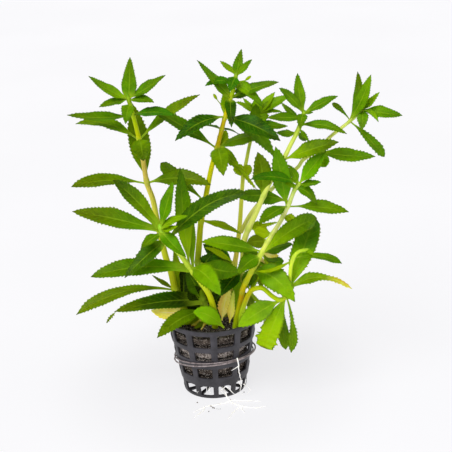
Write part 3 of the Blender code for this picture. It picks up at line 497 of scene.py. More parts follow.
LOW = grown(
    "stem_low_right",
    route=((242, 329, -9), (241, 316, -12), (246, 300, -16), (251, 291, -18), (258, 288, -20),
           (264, 289, -21), (272, 296, -22), (280, 300, -22), (286, 296, -22), (289, 286, -22),
           (290, 277, -22), (291, 266, -22), (294, 257, -21), (299, 251.5, -20), (307, 250, -19)),
    radii=(1.5, 0.9), foot=True,
    skin=((0, 160, 190, 20), (0.2, 185, 215, 40), (0.3, 200, 190, 10), (0.45, 175, 200, 10),
          (0.6, 190, 215, 20), (0.85, 215, 240, 70), (1, 180, 225, 50)),
    young=(
        (305, 251, 316, 258, -4, 3, 40, 1, "bright"),
        (292, 259, 255, 271, -3, 3, 50, -2.6, "faded"),
        (294, 258, 342, 263.5, -5, 6, 50, 2.4, "green", "outer"),
        (281, 300, 286, 350, 3, 5.8, 10, 0, "olive_green", "outer", -0.6),
    ),
    leaves=(
        ("low_1", 285, 298, 264, 348, -6, 11.6, 5, 1, "flare", "torn"),
        ("low_2", 287, 298, 291, 353, -2, 4.8, 20, 0, "olive_green", "paddle", 1.9),
        ("low_3", 280, 300, 237.5, 327, -3, 10.4, 15, 1, "lime_tip"),
        ("low_4", 289, 288, 352, 289, -6, 6.8, 42, 6.2, "dry_tip", "tail"),
        ("low_5", 287, 290, 315, 217.5, 14, 11.4, 0, 0, "glow_dark", "obovate"),
    ))

# Leaves at the pot: two from the foot of the tall stem, and the rest from the plug
FOOT_LEAVES = (
    ("foot_1", 206, 299, 114, 312, -18, 10.4, 35, 2.1, "gloom", "stout"),
    ("foot_2", 205, 310, 157, 338, -29, 9, 30, 3, "olive_dark"),
)
PLUG_LEAVES = (
    ("foot_3", 187, 311, 151, 310.5, -5, 8, 10, -1.2, "tan", "lance", 0, -5),
    ("foot_4", 224, 328, 193, 312.5, -3, 9, 5, 3, "fresh", "lance", 0, -13),
    ("foot_5", 229.5, 323, 234, 290, -2, 4, 20, 0, "wither", "slim", 0, -6),
    ("foot_6", 222, 320.5, 230, 287, 0, 6, 15, 0, "straw", "lance", -0.8, -1),
    ("foot_7", 236, 317, 239, 278, -1, 6.6, 15, 0, "vivid", "lance", 0, -4),
)
# The thin dried hook at the tip of a leaf
HOOKS = {"leaf_foot_1": leaf("hook", 117, 311, 106.5, 323, 0, 0.9, 0, 0, "umber", bow=-0.5, depth=-17)}

STEMS = (LEFT, SHORT, TALL, BACK, CENTRE, LONG, FRONT, LOW)

# Roots, as (x_px, y_px, depth) where they run down the pot, and as (x, y, z) on the floor.
# Their shares are of ROOT_RADIUS.
ROOT_RADIUS = 0.45
HAIR_RADIUS = 0.2
SIDE_SHARE = 0.8
SIDE_TWIG_SHARE = 0.5
FLOOR_TWIG_SHARE = 0.7
ROOT_END = 0.35                  # share of its radius that a root has at its end
ROOT_WANDER = 0.8                # share of its radius that a root strays
WANDER_SCALE = 0.45
NOISE_SEED = 1                   # without it, the roots would stray another way on each run
ROOT_STEP = 0.5
ROOT_SIDES = 8
SIDE_ROOT = ((237, 358, -22), (238.5, 364, -23.5), (239, 372, -22), (241, 380, -20.5), (241.5, 387, -19.5))
SIDE_TWIG = ((238.5, 366, -23), (235, 368.5, -23), (231.5, 371, -22.5))
WINDOW_HAIRS = (
    ((243, 384, -16), (247, 386, -16.5), (250, 390, -16.5), (247, 394, -16.8)),
    ((238, 381, -19), (241, 386, -18.6), (240, 391, -18.4), (243, 395, -17.6)),
    ((225, 386, -17), (229, 389.5, -17), (234, 394, -16.8)),
    ((196, 384, -14.5), (199, 389, -15), (197, 393, -15.2)),
    ((212, 384, -17), (209, 389, -17.6), (212, 395, -17.6)),
    ((226, 386, -19.5), (224, 388, -19.6), (221, 390.5, -19.2), (224, 394, -19), (228, 397, -18.6)),
    ((226, 386, -19.6), (229, 388.5, -19.6), (232, 392, -19.2), (236, 395, -18.6)),
    ((246, 379, -16.5), (245, 384, -16.8), (243.5, 389, -16.6)),
    ((205, 386, -16.5), (207, 389, -16.8), (206, 393, -16.6)),
    ((217, 385, -17.5), (219, 390, -17.6), (218.5, 395, -17.2)),
)
FLOOR_ROOT = ((4, -12.5, 4.0), (5.3, -16.5, 3.0), (6.5, -20, 1.3), (9, -24, 0.5), (13, -28, 0.5),
              (15, -35, 0.5))
FLOOR_TWIGS = (
    ((8, -22.5, 0.6), (1, -25, 0.5), (-6, -27, 0.5), (-12, -32, 0.5)),
    ((7.5, -22, 0.7), (16, -22, 0.5), (24, -24, 0.5)),
    ((12, -27, 0.5), (20, -30, 0.5), (27, -29, 0.5)),
    ((13, -28, 0.5), (9, -34, 0.5), (6, -41, 0.5)),
    ((-6, -27, 0.5), (-7, -31, 0.5), (-12, -38, 0.5)),
)
# Soil crumbs on the floor, as (x, y)
CRUMBS = ((-1.6, -28.0), (-0.8, -28.6), (0.6, -29.6), (1.6, -30.0), (2.4, -29.8), (-3.8, -32.0), (7.0, -19.5),
          (8.0, -20.2), (-2.6, -26.6), (-10.0, -22.0), (15.5, -13.0))
CRUMB_SCALE = 2.2
CRUMB_HEIGHT = 0.6


def seen_at(x_px, y_px, depth):
    """The point at this depth that the viewer sees at this pixel."""
    across = (x_px - CENTRE_PX) / FOCAL_PX
    above = (CENTRE_PX - y_px) / FOCAL_PX
    sight = FORWARD + RIGHT * across + UP * above
    return EYE + sight * ((depth - EYE.y) / sight.y)


def pixel_of(point):
    """Where the viewer sees a point."""
    offset = point - EYE
    far = offset.dot(FORWARD)
    return Vector((CENTRE_PX + FOCAL_PX * offset.dot(RIGHT) / far,
                   CENTRE_PX - FOCAL_PX * offset.dot(UP) / far))


def polar(turn, radius, height=0.0):
    """The point at this turn and radius round the pot's axis."""
    return Vector((radius * math.cos(turn), radius * math.sin(turn), height))


def spline(points, step):
    """Points about one step apart along a smooth curve through the given ones."""
    line = []
    ends = [points[0] * 2 - points[1], *points, points[-1] * 2 - points[-2]]
    for a, b, c, d in zip(ends, ends[1:], ends[2:], ends[3:]):
        spans = max(1, round((c - b).length / step))
        for index in range(spans):
            t = index / spans
            line.append(0.5 * (2 * b + (c - a) * t + (2 * a - 5 * b + 4 * c - d) * t ** 2
                               + (3 * b - a - 3 * c + d) * t ** 3))
    line.append(points[-1])
    return line


def through(form, shares):
    """Values at the shares, on a smooth line through a form's pairs of place and value."""
    places, values = np.array(form[::2]), np.array(form[1::2])
    slopes = np.empty(len(places))
    slopes[1:-1] = (values[2:] - values[:-2]) / (places[2:] - places[:-2])
    slopes[0] = (values[1] - values[0]) / (places[1] - places[0])
    slopes[-1] = (values[-1] - values[-2]) / (places[-1] - places[-2])
    span = np.clip(np.searchsorted(places, shares, side="right") - 1, 0, len(places) - 2)
    width = places[span + 1] - places[span]
    t = (shares - places[span]) / width
    return ((2 * t ** 3 - 3 * t ** 2 + 1) * values[span] + (t ** 3 - 2 * t ** 2 + t) * width * slopes[span]
            + (3 * t ** 2 - 2 * t ** 3) * values[span + 1] + (t ** 3 - t ** 2) * width * slopes[span + 1])


def ramp_up(values, low, high):
    """0 up to low, 1 from high on, and smooth between them."""
    t = np.clip((values - low) / (high - low), 0.0, 1.0)
    return t * t * (3.0 - 2.0 * t)


def unit(vectors):
    return vectors / np.linalg.norm(vectors, axis=1, keepdims=True)


def ring_faces(rings, sides, closed=False, capped=False):
    """The faces between rings of points: on to the first ring if closed, over both ends if capped."""
    faces = []
    for ring in range(rings if closed else rings - 1):
        start, after = ring * sides, (ring + 1) % rings * sides
        for corner in range(sides):
            beside = (corner + 1) % sides
            faces.append((start + corner, start + beside, after + beside, after + corner))
    if capped:
        faces += [tuple(range(sides)), tuple(range((rings - 1) * sides, rings * sides))]
    return faces


def add_object(name, data):
    made = bpy.data.objects.new(name, data)
    bpy.context.scene.collection.objects.link(made)
    return made


class Shape:
    """The points, faces, finishes and point values of a piece, gathered part by part."""

    def __init__(self):
        self.points = []
        self.faces = []
        self.finishes = []
        self.values = {name: [] for name in POINT_VALUES}

    def add(self, points, faces, finish=0, **values):
        start = len(self.points)
        self.points.extend(tuple(point) for point in points)
        self.faces.extend(tuple(corner + start for corner in face) for face in faces)
        self.finishes.extend([finish] * len(faces))
        for name in POINT_VALUES:
            given = values.get(name, 0.0)
            self.values[name].extend(np.broadcast_to(given, len(points)).tolist())

    def add_tube(self, line, radii, sides, finish=0, closed=False, **values):
        """A tube round a line, capped unless it closes on itself. A value is one for all of it or
        one for each point of the line."""
        points = []
        side = line[0].cross(line[1]).cross(line[1] - line[0]).normalized()
        count = len(line)
        for index, (centre, radius) in enumerate(zip(line, radii)):
            if closed:
                heading = line[(index + 1) % count] - line[index - 1]
            else:
                heading = line[min(index + 1, count - 1)] - line[max(index - 1, 0)]
            heading.normalize()
            side = (side - heading * side.dot(heading)).normalized()
            other = heading.cross(side)
            for corner in range(sides):
                turn = math.tau * corner / sides
                points.append(centre + (side * math.cos(turn) + other * math.sin(turn)) * radius)
        for name, given in values.items():
            if np.size(given) == count:
                values[name] = np.repeat(given, sides)
        self.add(points, ring_faces(count, sides, closed, not closed), finish, **values)

    def make(self, name, materials, sharp=None, weld=None):
        """The object, with its faces turned outwards, shaded smooth and sharp where it turns hard."""
        mesh = bpy.data.meshes.new(name)
        mesh.from_pydata([(x * MM, y * MM, z * MM) for x, y, z in self.points], [], self.faces)
        mesh.polygons.foreach_set("material_index", self.finishes)
        for value, numbers in self.values.items():
            mesh.attributes.new(value, "FLOAT", "POINT").data.foreach_set("value", numbers)
        shell = bmesh.new()
        shell.from_mesh(mesh)
        if weld is not None:
            bmesh.ops.remove_doubles(shell, verts=shell.verts, dist=weld * MM)
        bmesh.ops.recalc_face_normals(shell, faces=shell.faces)
        shell.to_mesh(mesh)
        shell.free()
        for material in materials:
            mesh.materials.append(material)
        mesh.shade_smooth()
        if sharp is not None:
            mesh.set_sharp_from_angle(angle=math.radians(sharp))
        return add_object(name, mesh)


def place(made, slot, node):
    """Attaches a finished piece to the body in place of the CAD node that it stands for, which is hidden."""
    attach(made, "root")
    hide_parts(node)


def seen_line(route):
    return [seen_at(*spot) for spot in route]


def stem_line(stem, step):
    """The middle line of a stem, with its radius at each point."""
    line = spline(seen_line(stem.route), step)
    thick, thin = stem.radii
    radii = [thick + (thin - thick) * index / (len(line) - 1) for index in range(len(line))]
    return line, radii


def nearest_on_stem(stem, place_px):
    """The point, heading and radius of the stem where the viewer sees this pixel."""
    line, radii = stem_line(stem, STEM_SEARCH)
    goal = Vector(place_px)
    best = None
    for index in range(len(line) - 1):
        start_px, end_px = pixel_of(line[index]), pixel_of(line[index + 1])
        span = end_px - start_px
        share = min(1.0, max(0.0, (goal - start_px).dot(span) / span.length_squared))
        miss = (goal - start_px - span * share).length
        if best is None or miss < best[0]:
            heading = (line[index + 1] - line[index]).normalized()
            best = (miss, line[index].lerp(line[index + 1], share), heading, radii[index])
    return best[1:]


def face_direction(point, chord, lean):
    """The way the seen side of a blade faces: at the viewer, then leaned to the sky or ground."""
    along = chord.normalized()
    to_viewer = (EYE - point).normalized()
    full = (to_viewer - along * to_viewer.dot(along)).normalized()
    turned = [Quaternion(along, math.radians(angle)) @ full for angle in (abs(lean), -abs(lean))]
    higher = max if lean >= 0 else min
    return higher(turned, key=lambda normal: normal.z)


def blade_ends(item, stem):
    """Where a blade starts, just inside its stem, and its tip."""
    if stem is None:
        return seen_at(*item.base_px, item.depth), seen_at(*item.tip_px, item.depth + item.reach)
    root, heading, radius = nearest_on_stem(stem, item.base_px)
    tip = seen_at(*item.tip_px, root.y + item.reach)
    outward = (tip - root) / 2 + SKY * item.arch
    outward = (outward - heading * outward.dot(heading)).normalized()
    return root + outward * ((LEAF_START if item.name else YOUNG_START) * radius), tip


def teeth_along(length, scale):
    """Places along a blade, some to each tooth, and how far its margin reaches out there."""
    teeth = max(6, round(length / (TOOTH_LENGTH * scale)))
    along = np.array([(tooth + place) / teeth for tooth in range(teeth) for place, _ in TOOTH_STEPS])
    bite = np.tile([out for _, out in TOOTH_STEPS], teeth)
    bite = bite * ramp_up(along, *TEETH_START) * (1.0 - ramp_up(along, *TEETH_END)) * TOOTH_HEIGHT * scale
    along[-1] = LAST_ROW
    return along, bite


def margins(item, along, bite, half, chance):
    """How far each point lies to the side of the midrib, with toothed and torn margins."""
    spread = half[:, None] * ACROSS
    for column, sign in ((0, -1.0), (-1, 1.0)):
        out = bite * np.array([chance.uniform(*TOOTH_UNEVEN) for _ in along])
        if item.form == "torn":
            ragged = np.array([chance.uniform(-1.0, 0.25) for _ in along])
            out = out + ragged * half * TEAR_DEPTH * ramp_up(along, *TEAR_START)
        spread[:, column] += sign * (out - TOOTH_SINK * bite)
    return spread


def relief(item, along, half, chance):
    """How high each point stands: the fold, waves and tears of the blade, its veins and groove."""
    phase = [chance.uniform(0.0, math.tau) for _ in range(3)]
    ripple = chance.uniform(*RIPPLE)
    long, short = RIPPLE_WAVES
    raised = LEAF_FOLD * half[:, None] * (np.sqrt(ACROSS ** 2 + 0.012) - 0.11)
    for sign, turn in ((-1.0, phase[0]), (1.0, phase[1])):
        swing = np.sin(along * (math.tau * long) + turn) + 0.5 * np.sin(along * (math.tau * short) + phase[2])
        raised = raised + ripple * np.outer(half * swing, np.where(ACROSS * sign > 0, ASIDE ** 2, 0.0))
    if item.form == "torn":
        crumple = CRUMPLE * half * ramp_up(along, *CRUMPLE_START) * np.sin(along * CRUMPLE_WAVES)
        raised = raised + np.outer(crumple, ASIDE)
    veins = np.sin(math.tau * (along[:, None] * VEIN_COUNT - ASIDE * VEIN_SWEEP))
    raised = raised + VEIN_HEIGHT * veins * (ramp_up(ASIDE, 0.05, 0.3) * (1.0 - ramp_up(ASIDE, 0.7, 1.0)))
    groove = np.exp(-(ACROSS * half[:, None]) ** 2 / GROOVE_WIDTH ** 2)
    return raised - MIDRIB_GROOVE * groove * (1.0 - along[:, None] ** 2)


def tissue(item, places, chance):
    """The hue, light and dryness at these places of a blade, each leaf a little different."""
    blend = ramp_up(places, 0.15, 0.95)
    look = (*LOOKS[item.look], 0, 0)
    shifts = (chance.uniform(-HUE_UNEVEN, HUE_UNEVEN), chance.uniform(-LIGHT_UNEVEN, LIGHT_UNEVEN), 0.0)
    hue, light, dry = (start + (end - start) * blend + shift
                       for start, end, shift in zip(look[::2], look[1::2], shifts))
    return {"hue": np.clip(hue, -1.0, 1.0), "light": light, "dry": np.clip(dry, 0.0, 1.0)}


def add_blade(shape, item, stem, finish, chance):
    """A leaf with its midrib, side veins and toothed margins, as one thin closed skin."""
    base, tip = blade_ends(item, stem)
    chord = tip - base
    face = np.array(face_direction(base + chord / 2, chord, item.lean))
    lift = np.array(SKY * item.arch + RIGHT * item.bow) * LEAF_LIFT
    along, bite = teeth_along(chord.length, 1.0 if item.name else YOUNG_TOOTH)
    half = item.width / 2 * np.maximum(through(FORMS[item.form], along), NARROWEST)
    spread = margins(item, along, bite, half, chance)
    raised = relief(item, along, half, chance)

    centre = np.array(base) + np.outer(along, chord) + np.outer(along * (1.0 - along), lift)
    heading = unit(np.array(chord) + np.outer(1.0 - 2.0 * along, lift))
    normal = unit(face - heading * (heading @ face)[:, None])
    side = np.cross(heading, normal)
    thin = LEAF_THICKNESS / 2 * (1.0 - ASIDE ** 6)
    rib = np.exp(-(ACROSS * half[:, None]) ** 2 / MIDRIB_WIDTH ** 2)
    keel = MIDRIB_HEIGHT * rib * (1.0 - 0.8 * along[:, None])
    top = centre[:, None] + side[:, None] * spread[:, :, None] + normal[:, None] * (raised + thin)[:, :, None]
    under = top - normal[:, None] * (2 * thin + keel)[:, :, None]

    rings = np.concatenate([top, under[:, -2:0:-1]], axis=1)
    round_it = np.concatenate([ACROSS, ACROSS[-2:0:-1]])
    count, sides = rings.shape[:2]
    points = np.vstack([rings.reshape(-1, 3), tip])
    faces = ring_faces(count, sides)
    faces.append(tuple(range(sides)))
    last = (count - 1) * sides
    faces.extend((last + corner, last + (corner + 1) % sides, count * sides) for corner in range(sides))
    places = np.append(np.repeat(along, sides), 1.0)
    shape.add(points, faces, finish, along=places, across=np.append(np.tile(round_it, count), 0.0),
              **tissue(item, places, chance))


def add_stem_tube(shape, stem):
    """The stem with a swelling at each node, its foot in the plug and its growing tip."""
    line, radii = stem_line(stem, STEM_STEP)
    if stem.foot:
        down = (line[0] - line[1]).normalized()
        line = [line[0] + down * (FOOT_DEPTH * share) for share in (1.0, 0.5)] + line
        radii = [radii[0]] * 2 + radii
    ahead = (line[-1] - line[-2]).normalized()
    thin = radii[-1]
    for width in TIP_WIDTHS:
        line.append(line[-1] + ahead * STEM_TIP * TIP_STEP)
        radii.append(thin * width)
    places = np.array(line)
    near = np.zeros(len(line))
    for item in (*stem.young, *stem.leaves):
        node = np.array(nearest_on_stem(stem, item.base_px)[0])
        near = np.maximum(near, np.exp(-np.sum((places - node) ** 2, axis=1) / NODE_REACH ** 2))
    shape.add_tube(line, np.array(radii) * (1.0 + NODE_SWELL * near), STEM_SIDES, light=near,
                   along=np.linspace(0.0, 1.0, len(line)),
                   across=np.tile(np.arange(STEM_SIDES) / STEM_SIDES, len(line)))


def add_bud(shape, stem, start_px, neck_px, tip_px, reach):
    start = nearest_on_stem(stem, start_px)[0]
    neck = seen_at(*neck_px, start.y + reach * 0.6)
    tip = seen_at(*tip_px, start.y + reach)
    line = [start, start.lerp(neck, 0.5) + SKY * 0.5] + [neck.lerp(tip, share) for share in BUD_SHARES]
    shape.add_tube(line, BUD_RADII, BUD_SIDES, 1, along=np.linspace(0.0, 0.9, len(line)), across=0.5,
                   hue=0.8, light=0.9)


def make_stem(stem, leaf_skin):
    shape = Shape()
    add_stem_tube(shape, stem)
    for index, item in enumerate(stem.young):
        add_blade(shape, item, stem, 1, random.Random(f"{stem.name} {index}"))
    for bud in stem.buds:
        add_bud(shape, stem, *bud)
    made = shape.make(stem.name + "_grown", [stem_skin(stem), leaf_skin], sharp=60.0)
    place(made, "stem", stem.name)


def make_leaf(item, stem, skins):
    shape = Shape()
    chance = random.Random(item.name)
    slot = "dead_leaf" if item.look in DEAD_LOOKS else "leaf"
    add_blade(shape, item, stem, 0, chance)
    if item.name in HOOKS:
        add_blade(shape, HOOKS[item.name], None, 0, chance)
    place(shape.make(item.name + "_blade", [skins[slot]], sharp=60.0), slot, item.name)


def wall_radius(height):
    return POT_BASE_RADIUS + (POT_TOP_RADIUS - POT_BASE_RADIUS) * height / POT_HEIGHT


def pot_point(turn, run, depth):
    """A point of the pot's wall. run goes up the wall from the base's edge, and is negative on the base."""
    if run >= 0.0:
        return polar(turn, wall_radius(run) - depth, max(run, depth))
    return polar(turn, min(POT_BASE_RADIUS + run, POT_BASE_RADIUS - depth), depth)


def square_path():
    """Once round a square from -1 to 1, with its points closer together towards the corners."""
    return [(share * east + north, share * north - east)
            for east, north in ((1, 0), (0, 1), (-1, 0), (0, -1)) for share in SIDE_SHARES]


def rounded(x, y, half_width, half_height, corner):
    """A point of a rectangle's edge, moved onto the arc where the corner is rounded."""
    x, y = x * half_width, y * half_height
    arc_x, arc_y = half_width - corner, half_height - corner
    if abs(x) > arc_x and abs(y) > arc_y:
        toward = Vector((abs(x) - arc_x, abs(y) - arc_y)).normalized() * corner
        x, y = math.copysign(arc_x + toward.x, x), math.copysign(arc_y + toward.y, y)
    return x, y


def add_window(shape, index, low, high, window_low, window_high):
    """A window with rounded and bevelled edges, and half of each bar and ring round it."""
    middle = BAR_TURN + BAR_SPACING * (index + 0.5)
    window_middle = (window_low + window_high) / 2
    radius = wall_radius(window_middle) if low >= 0.0 else POT_BASE_RADIUS * BASE_WINDOW_AT
    half_width = BAR_SPACING * (1.0 - BAR_SHARE) / 2 * radius
    half_height = (window_high - window_low) / 2

    def frame_ring(depth):
        return [pot_point(middle + x * BAR_SPACING / 2, low + (high - low) * (y + 1.0) / 2, depth)
                for x, y in square_path()]

    def edge_ring(wider, depth):
        ring = []
        for x, y in square_path():
            x, y = rounded(x, y, half_width + wider, half_height + wider, POT_CORNER + wider)
            ring.append(pot_point(middle + x / radius, window_middle + y, depth))
        return ring

    bevel = [(POT_BEVEL, 0.0), (POT_BEVEL * 0.3, POT_BEVEL * 0.3), (0.0, POT_BEVEL)]
    bevel += [(wider, POT_WALL - depth) for wider, depth in reversed(bevel)]
    rings = [frame_ring(0.0), *(edge_ring(*step) for step in bevel), frame_ring(POT_WALL)]
    shape.add([point for ring in rings for point in ring], ring_faces(len(rings), len(rings[0])))


def add_round(shape, profile):
    """A band swept round the pot through a profile of (run, depth)."""
    turns = [BAR_TURN + BAR_SPACING * (index + (share + 1.0) / 2)
             for index in range(POT_BARS) for share in SIDE_SHARES]
    points = [pot_point(turn, *station) for station in profile for turn in turns]
    shape.add(points, ring_faces(len(profile), len(turns)))


def make_pot():
    """The moulded basket: its windows in rows, the base grid, the hub disc and the rim's lip."""
    shape = Shape()
    top = POT_HEIGHT - POT_LIP
    edges = [0.0]
    for (_, below), (above, _) in zip(POT_WINDOWS, POT_WINDOWS[1:]):
        edges.append((below + above) / 2)
    edges.append(top)
    hub = HUB_RADIUS - POT_BASE_RADIUS
    for index in range(POT_BARS):
        for low, high, window in zip(edges, edges[1:], POT_WINDOWS):
            add_window(shape, index, low, high, *window)
        add_window(shape, index, hub - HUB_RIM, 0.0, hub, -POT_WALL)
    lip = [(top, 0.0), (top + POT_LIP * 0.7, POT_LIP * 0.3), (top + POT_LIP, POT_LIP)]
    add_round(shape, lip + [(run, POT_WALL - depth) for run, depth in reversed(lip)])
    for depth in (0.0, POT_WALL):
        disc = [hub - HUB_RIM] + [radius - POT_BASE_RADIUS for radius in HUB_MIDDLE]
        add_round(shape, [(run, depth) for run in disc])
    place(shape.make("net_pot_moulded", [pot_plastic()], 40.0, POT_WELD), "pot", "net_pot")


def rough(point, scale, octaves=3):
    """Fractal noise from about -1 to 1 at a point in millimetres."""
    return noise.fractal(point * scale, 0.9, 2.2, octaves, noise_basis="PERLIN_ORIGINAL")


def wool_pinch(height):
    """How far the plug is drawn in just above each ring of the pot, from 0 to 1."""
    return max(math.exp(-((height - sill - 0.2) / 0.75) ** 2) for sill, _ in POT_WINDOWS)


def wool_paleness(height):
    """How pale with grains the plug's side is, which is most behind the middle windows."""
    return math.exp(-((height - PALE_HEIGHT) / PALE_REACH) ** 2)


def wool_point(turn, share, height, on_top=False):
    """A point of the plug's lumpy skin."""
    radius = (wall_radius(height) - POT_WALL - WOOL_GAP) * share
    spot = polar(turn, radius, height)
    flatter = Vector((spot.x, spot.y, spot.z * FUZZ_FLATNESS))
    uneven = rough(spot, LUMP_SCALE) * WOOL_LUMP + rough(flatter, FUZZ_SCALE, 4) * WOOL_FUZZ
    if on_top:
        return spot + SKY * (uneven * min(1.0, (1.0 - share) * 6.0 + 0.3) - 0.3)
    return polar(turn, radius - max(0.0, WOOL_HOLLOW - uneven) - WOOL_PINCH * wool_pinch(height), height)


def spot_on_wool(chance, margin, top_share, reach=1.0):
    """A random point on the plug's side or top, and the way out of it."""
    turn = chance.uniform(0.0, math.tau)
    height = chance.uniform(WOOL_BOTTOM + 1.0, WOOL_TOP - margin)
    if chance.random() < top_share:
        return wool_point(turn, math.sqrt(chance.random()) * reach, WOOL_TOP, True), SKY
    return wool_point(turn, 1.0, height), polar(turn, 1.0)


def make_wool():
    """The plug, with loose fibres and pale grains on its skin."""
    shape = Shape()
    profile = [(share, WOOL_BOTTOM, True) for share in BOTTOM_SHARES]
    profile += [(1.0, WOOL_BOTTOM + (WOOL_TOP - WOOL_BOTTOM) * (row + 0.5) / WOOL_ROWS, False)
                for row in range(WOOL_ROWS)]
    profile += [(1.0 - (ring + 1.0) / WOOL_RINGS, WOOL_TOP, True) for ring in range(WOOL_RINGS)]
    points = [wool_point(math.tau * index / WOOL_SIDES, max(share, 0.002), height, level)
              for share, height, level in profile for index in range(WOOL_SIDES)]
    # Painted shade: the plug is darkened just above each ring of the pot, where the ring shades it, and over
    # its top
    shaded = [WOOL_TOP_SHADE if level else wool_pinch(height) for _, height, level in profile]
    pale = [0.0 if level else wool_paleness(height) for _, height, level in profile]
    shape.add(points, ring_faces(len(profile), WOOL_SIDES, capped=True),
              dry=np.repeat(shaded, WOOL_SIDES), light=np.repeat(pale, WOOL_SIDES))
    chance = random.Random("wool")
    for _ in range(PALE_GRAINS):
        turn, height = chance.uniform(0.0, math.tau), chance.gauss(PALE_HEIGHT, PALE_REACH * 0.7)
        add_grain(shape, wool_point(turn, 1.0, height), chance)
    for _ in range(GRAINS):
        add_grain(shape, spot_on_wool(chance, 0.5, GRAINS_ON_TOP)[0], chance)
    for _ in range(FIBRES):
        add_fibre(shape, *spot_on_wool(chance, 1.0, FIBRES_ON_TOP, 0.97), chance)
    place(shape.make("rock_wool_fibres", [wool_skin(), grain_skin()]), "wool", "rock_wool")


def add_grain(shape, spot, chance, scale=1.0):
    """A small angular grain."""
    size = chance.uniform(*GRAIN_SIZE) * scale
    spin = Quaternion((chance.random(), chance.random(), chance.random()), chance.uniform(0.0, 3.0))
    points = [spot + spin @ (Vector(way) * size * chance.uniform(0.6, 1.3)) for way in GRAIN_WAYS]
    shape.add(points, GRAIN_FACES, 1, light=chance.random())


def add_fibre(shape, spot, outward, chance):
    """A short bent fibre that lies on the skin."""
    heading = Vector((chance.uniform(-1, 1), chance.uniform(-1, 1), chance.uniform(-1, 1)))
    heading = (heading - outward * heading.dot(outward)).normalized()
    length = chance.uniform(*FIBRE_LENGTH)
    side = heading.cross(outward) * chance.uniform(-0.5, 0.5)
    low, high = (outward * rise for rise in FIBRE_RISE)
    half = heading * length / 2
    line = spline([spot - half + low, spot + side * length * 0.3 + high, spot + half + low], length / 4)
    shape.add_tube(line, [FIBRE_RADIUS] * len(line), 3, 1, light=chance.uniform(0.0, 0.7))


def make_band():
    """The elastic, two windings in one loop, a little uneven in its thickness."""
    line = []
    for index in range(BAND_STEPS):
        turn = 2 * math.tau * index / BAND_STEPS
        phase = (turn - BAND_CROSSING) / 2
        height = BAND_HEIGHT - BAND_FRONT_RISE * math.sin(turn) + BAND_RIGHT_RISE * math.cos(turn)
        height += BAND_SPREAD * math.sin(phase)
        outside = wall_radius(height) + WOOL_GAP + BAND_RADIUS
        line.append(polar(turn, outside + BAND_PASS * (0.5 + 0.5 * math.cos(phase)) ** 2, height))
    shape = Shape()
    radii = [BAND_RADIUS * (1.0 + BAND_UNEVEN * math.sin(index * 0.9)) for index in range(BAND_STEPS)]
    shape.add_tube(line, radii, BAND_SIDES, closed=True)
    place(shape.make("rubber_band_loop", [band_rubber()]), "band", "rubber_band")


def add_root(shape, line, radius, chance):
    """A root that wanders a little and thins towards its end."""
    line = spline(line, ROOT_STEP)
    start = Vector((chance.uniform(0, 50), chance.uniform(0, 50), chance.uniform(0, 50)))
    bent = []
    for index, point in enumerate(line):
        ease = min(1.0, index / 4.0)
        bent.append(point + noise.noise_vector(point * WANDER_SCALE + start) * (radius * ROOT_WANDER * ease))
    share = np.linspace(0.0, 1.0, len(bent))
    shape.add_tube(bent, radius * (1.0 + (ROOT_END - 1.0) * share ** 1.5), ROOT_SIDES)


def make_roots():
    """The roots at the pot's side, and those on the floor with the crumbs beside them."""
    skin = root_skin()
    chance = random.Random("roots")
    noise.seed_set(NOISE_SEED)
    side = Shape()
    add_root(side, seen_line(SIDE_ROOT), ROOT_RADIUS * SIDE_SHARE, chance)
    add_root(side, seen_line(SIDE_TWIG), ROOT_RADIUS * SIDE_TWIG_SHARE, chance)
    for hair in WINDOW_HAIRS:
        add_root(side, seen_line(hair), HAIR_RADIUS, chance)
    place(side.make("root_side_fine", [skin]), "root", "root_side")
    floor = Shape()
    add_root(floor, [Vector(spot) for spot in FLOOR_ROOT], ROOT_RADIUS, chance)
    for twig in FLOOR_TWIGS:
        add_root(floor, [Vector(spot) for spot in twig], ROOT_RADIUS * FLOOR_TWIG_SHARE, chance)
    for x, y in CRUMBS:
        add_grain(floor, Vector((x, y, CRUMB_HEIGHT)), chance, CRUMB_SCALE)
    place(floor.make("roots_floor_fine", [skin, wool_skin()]), "root", "roots_floor")


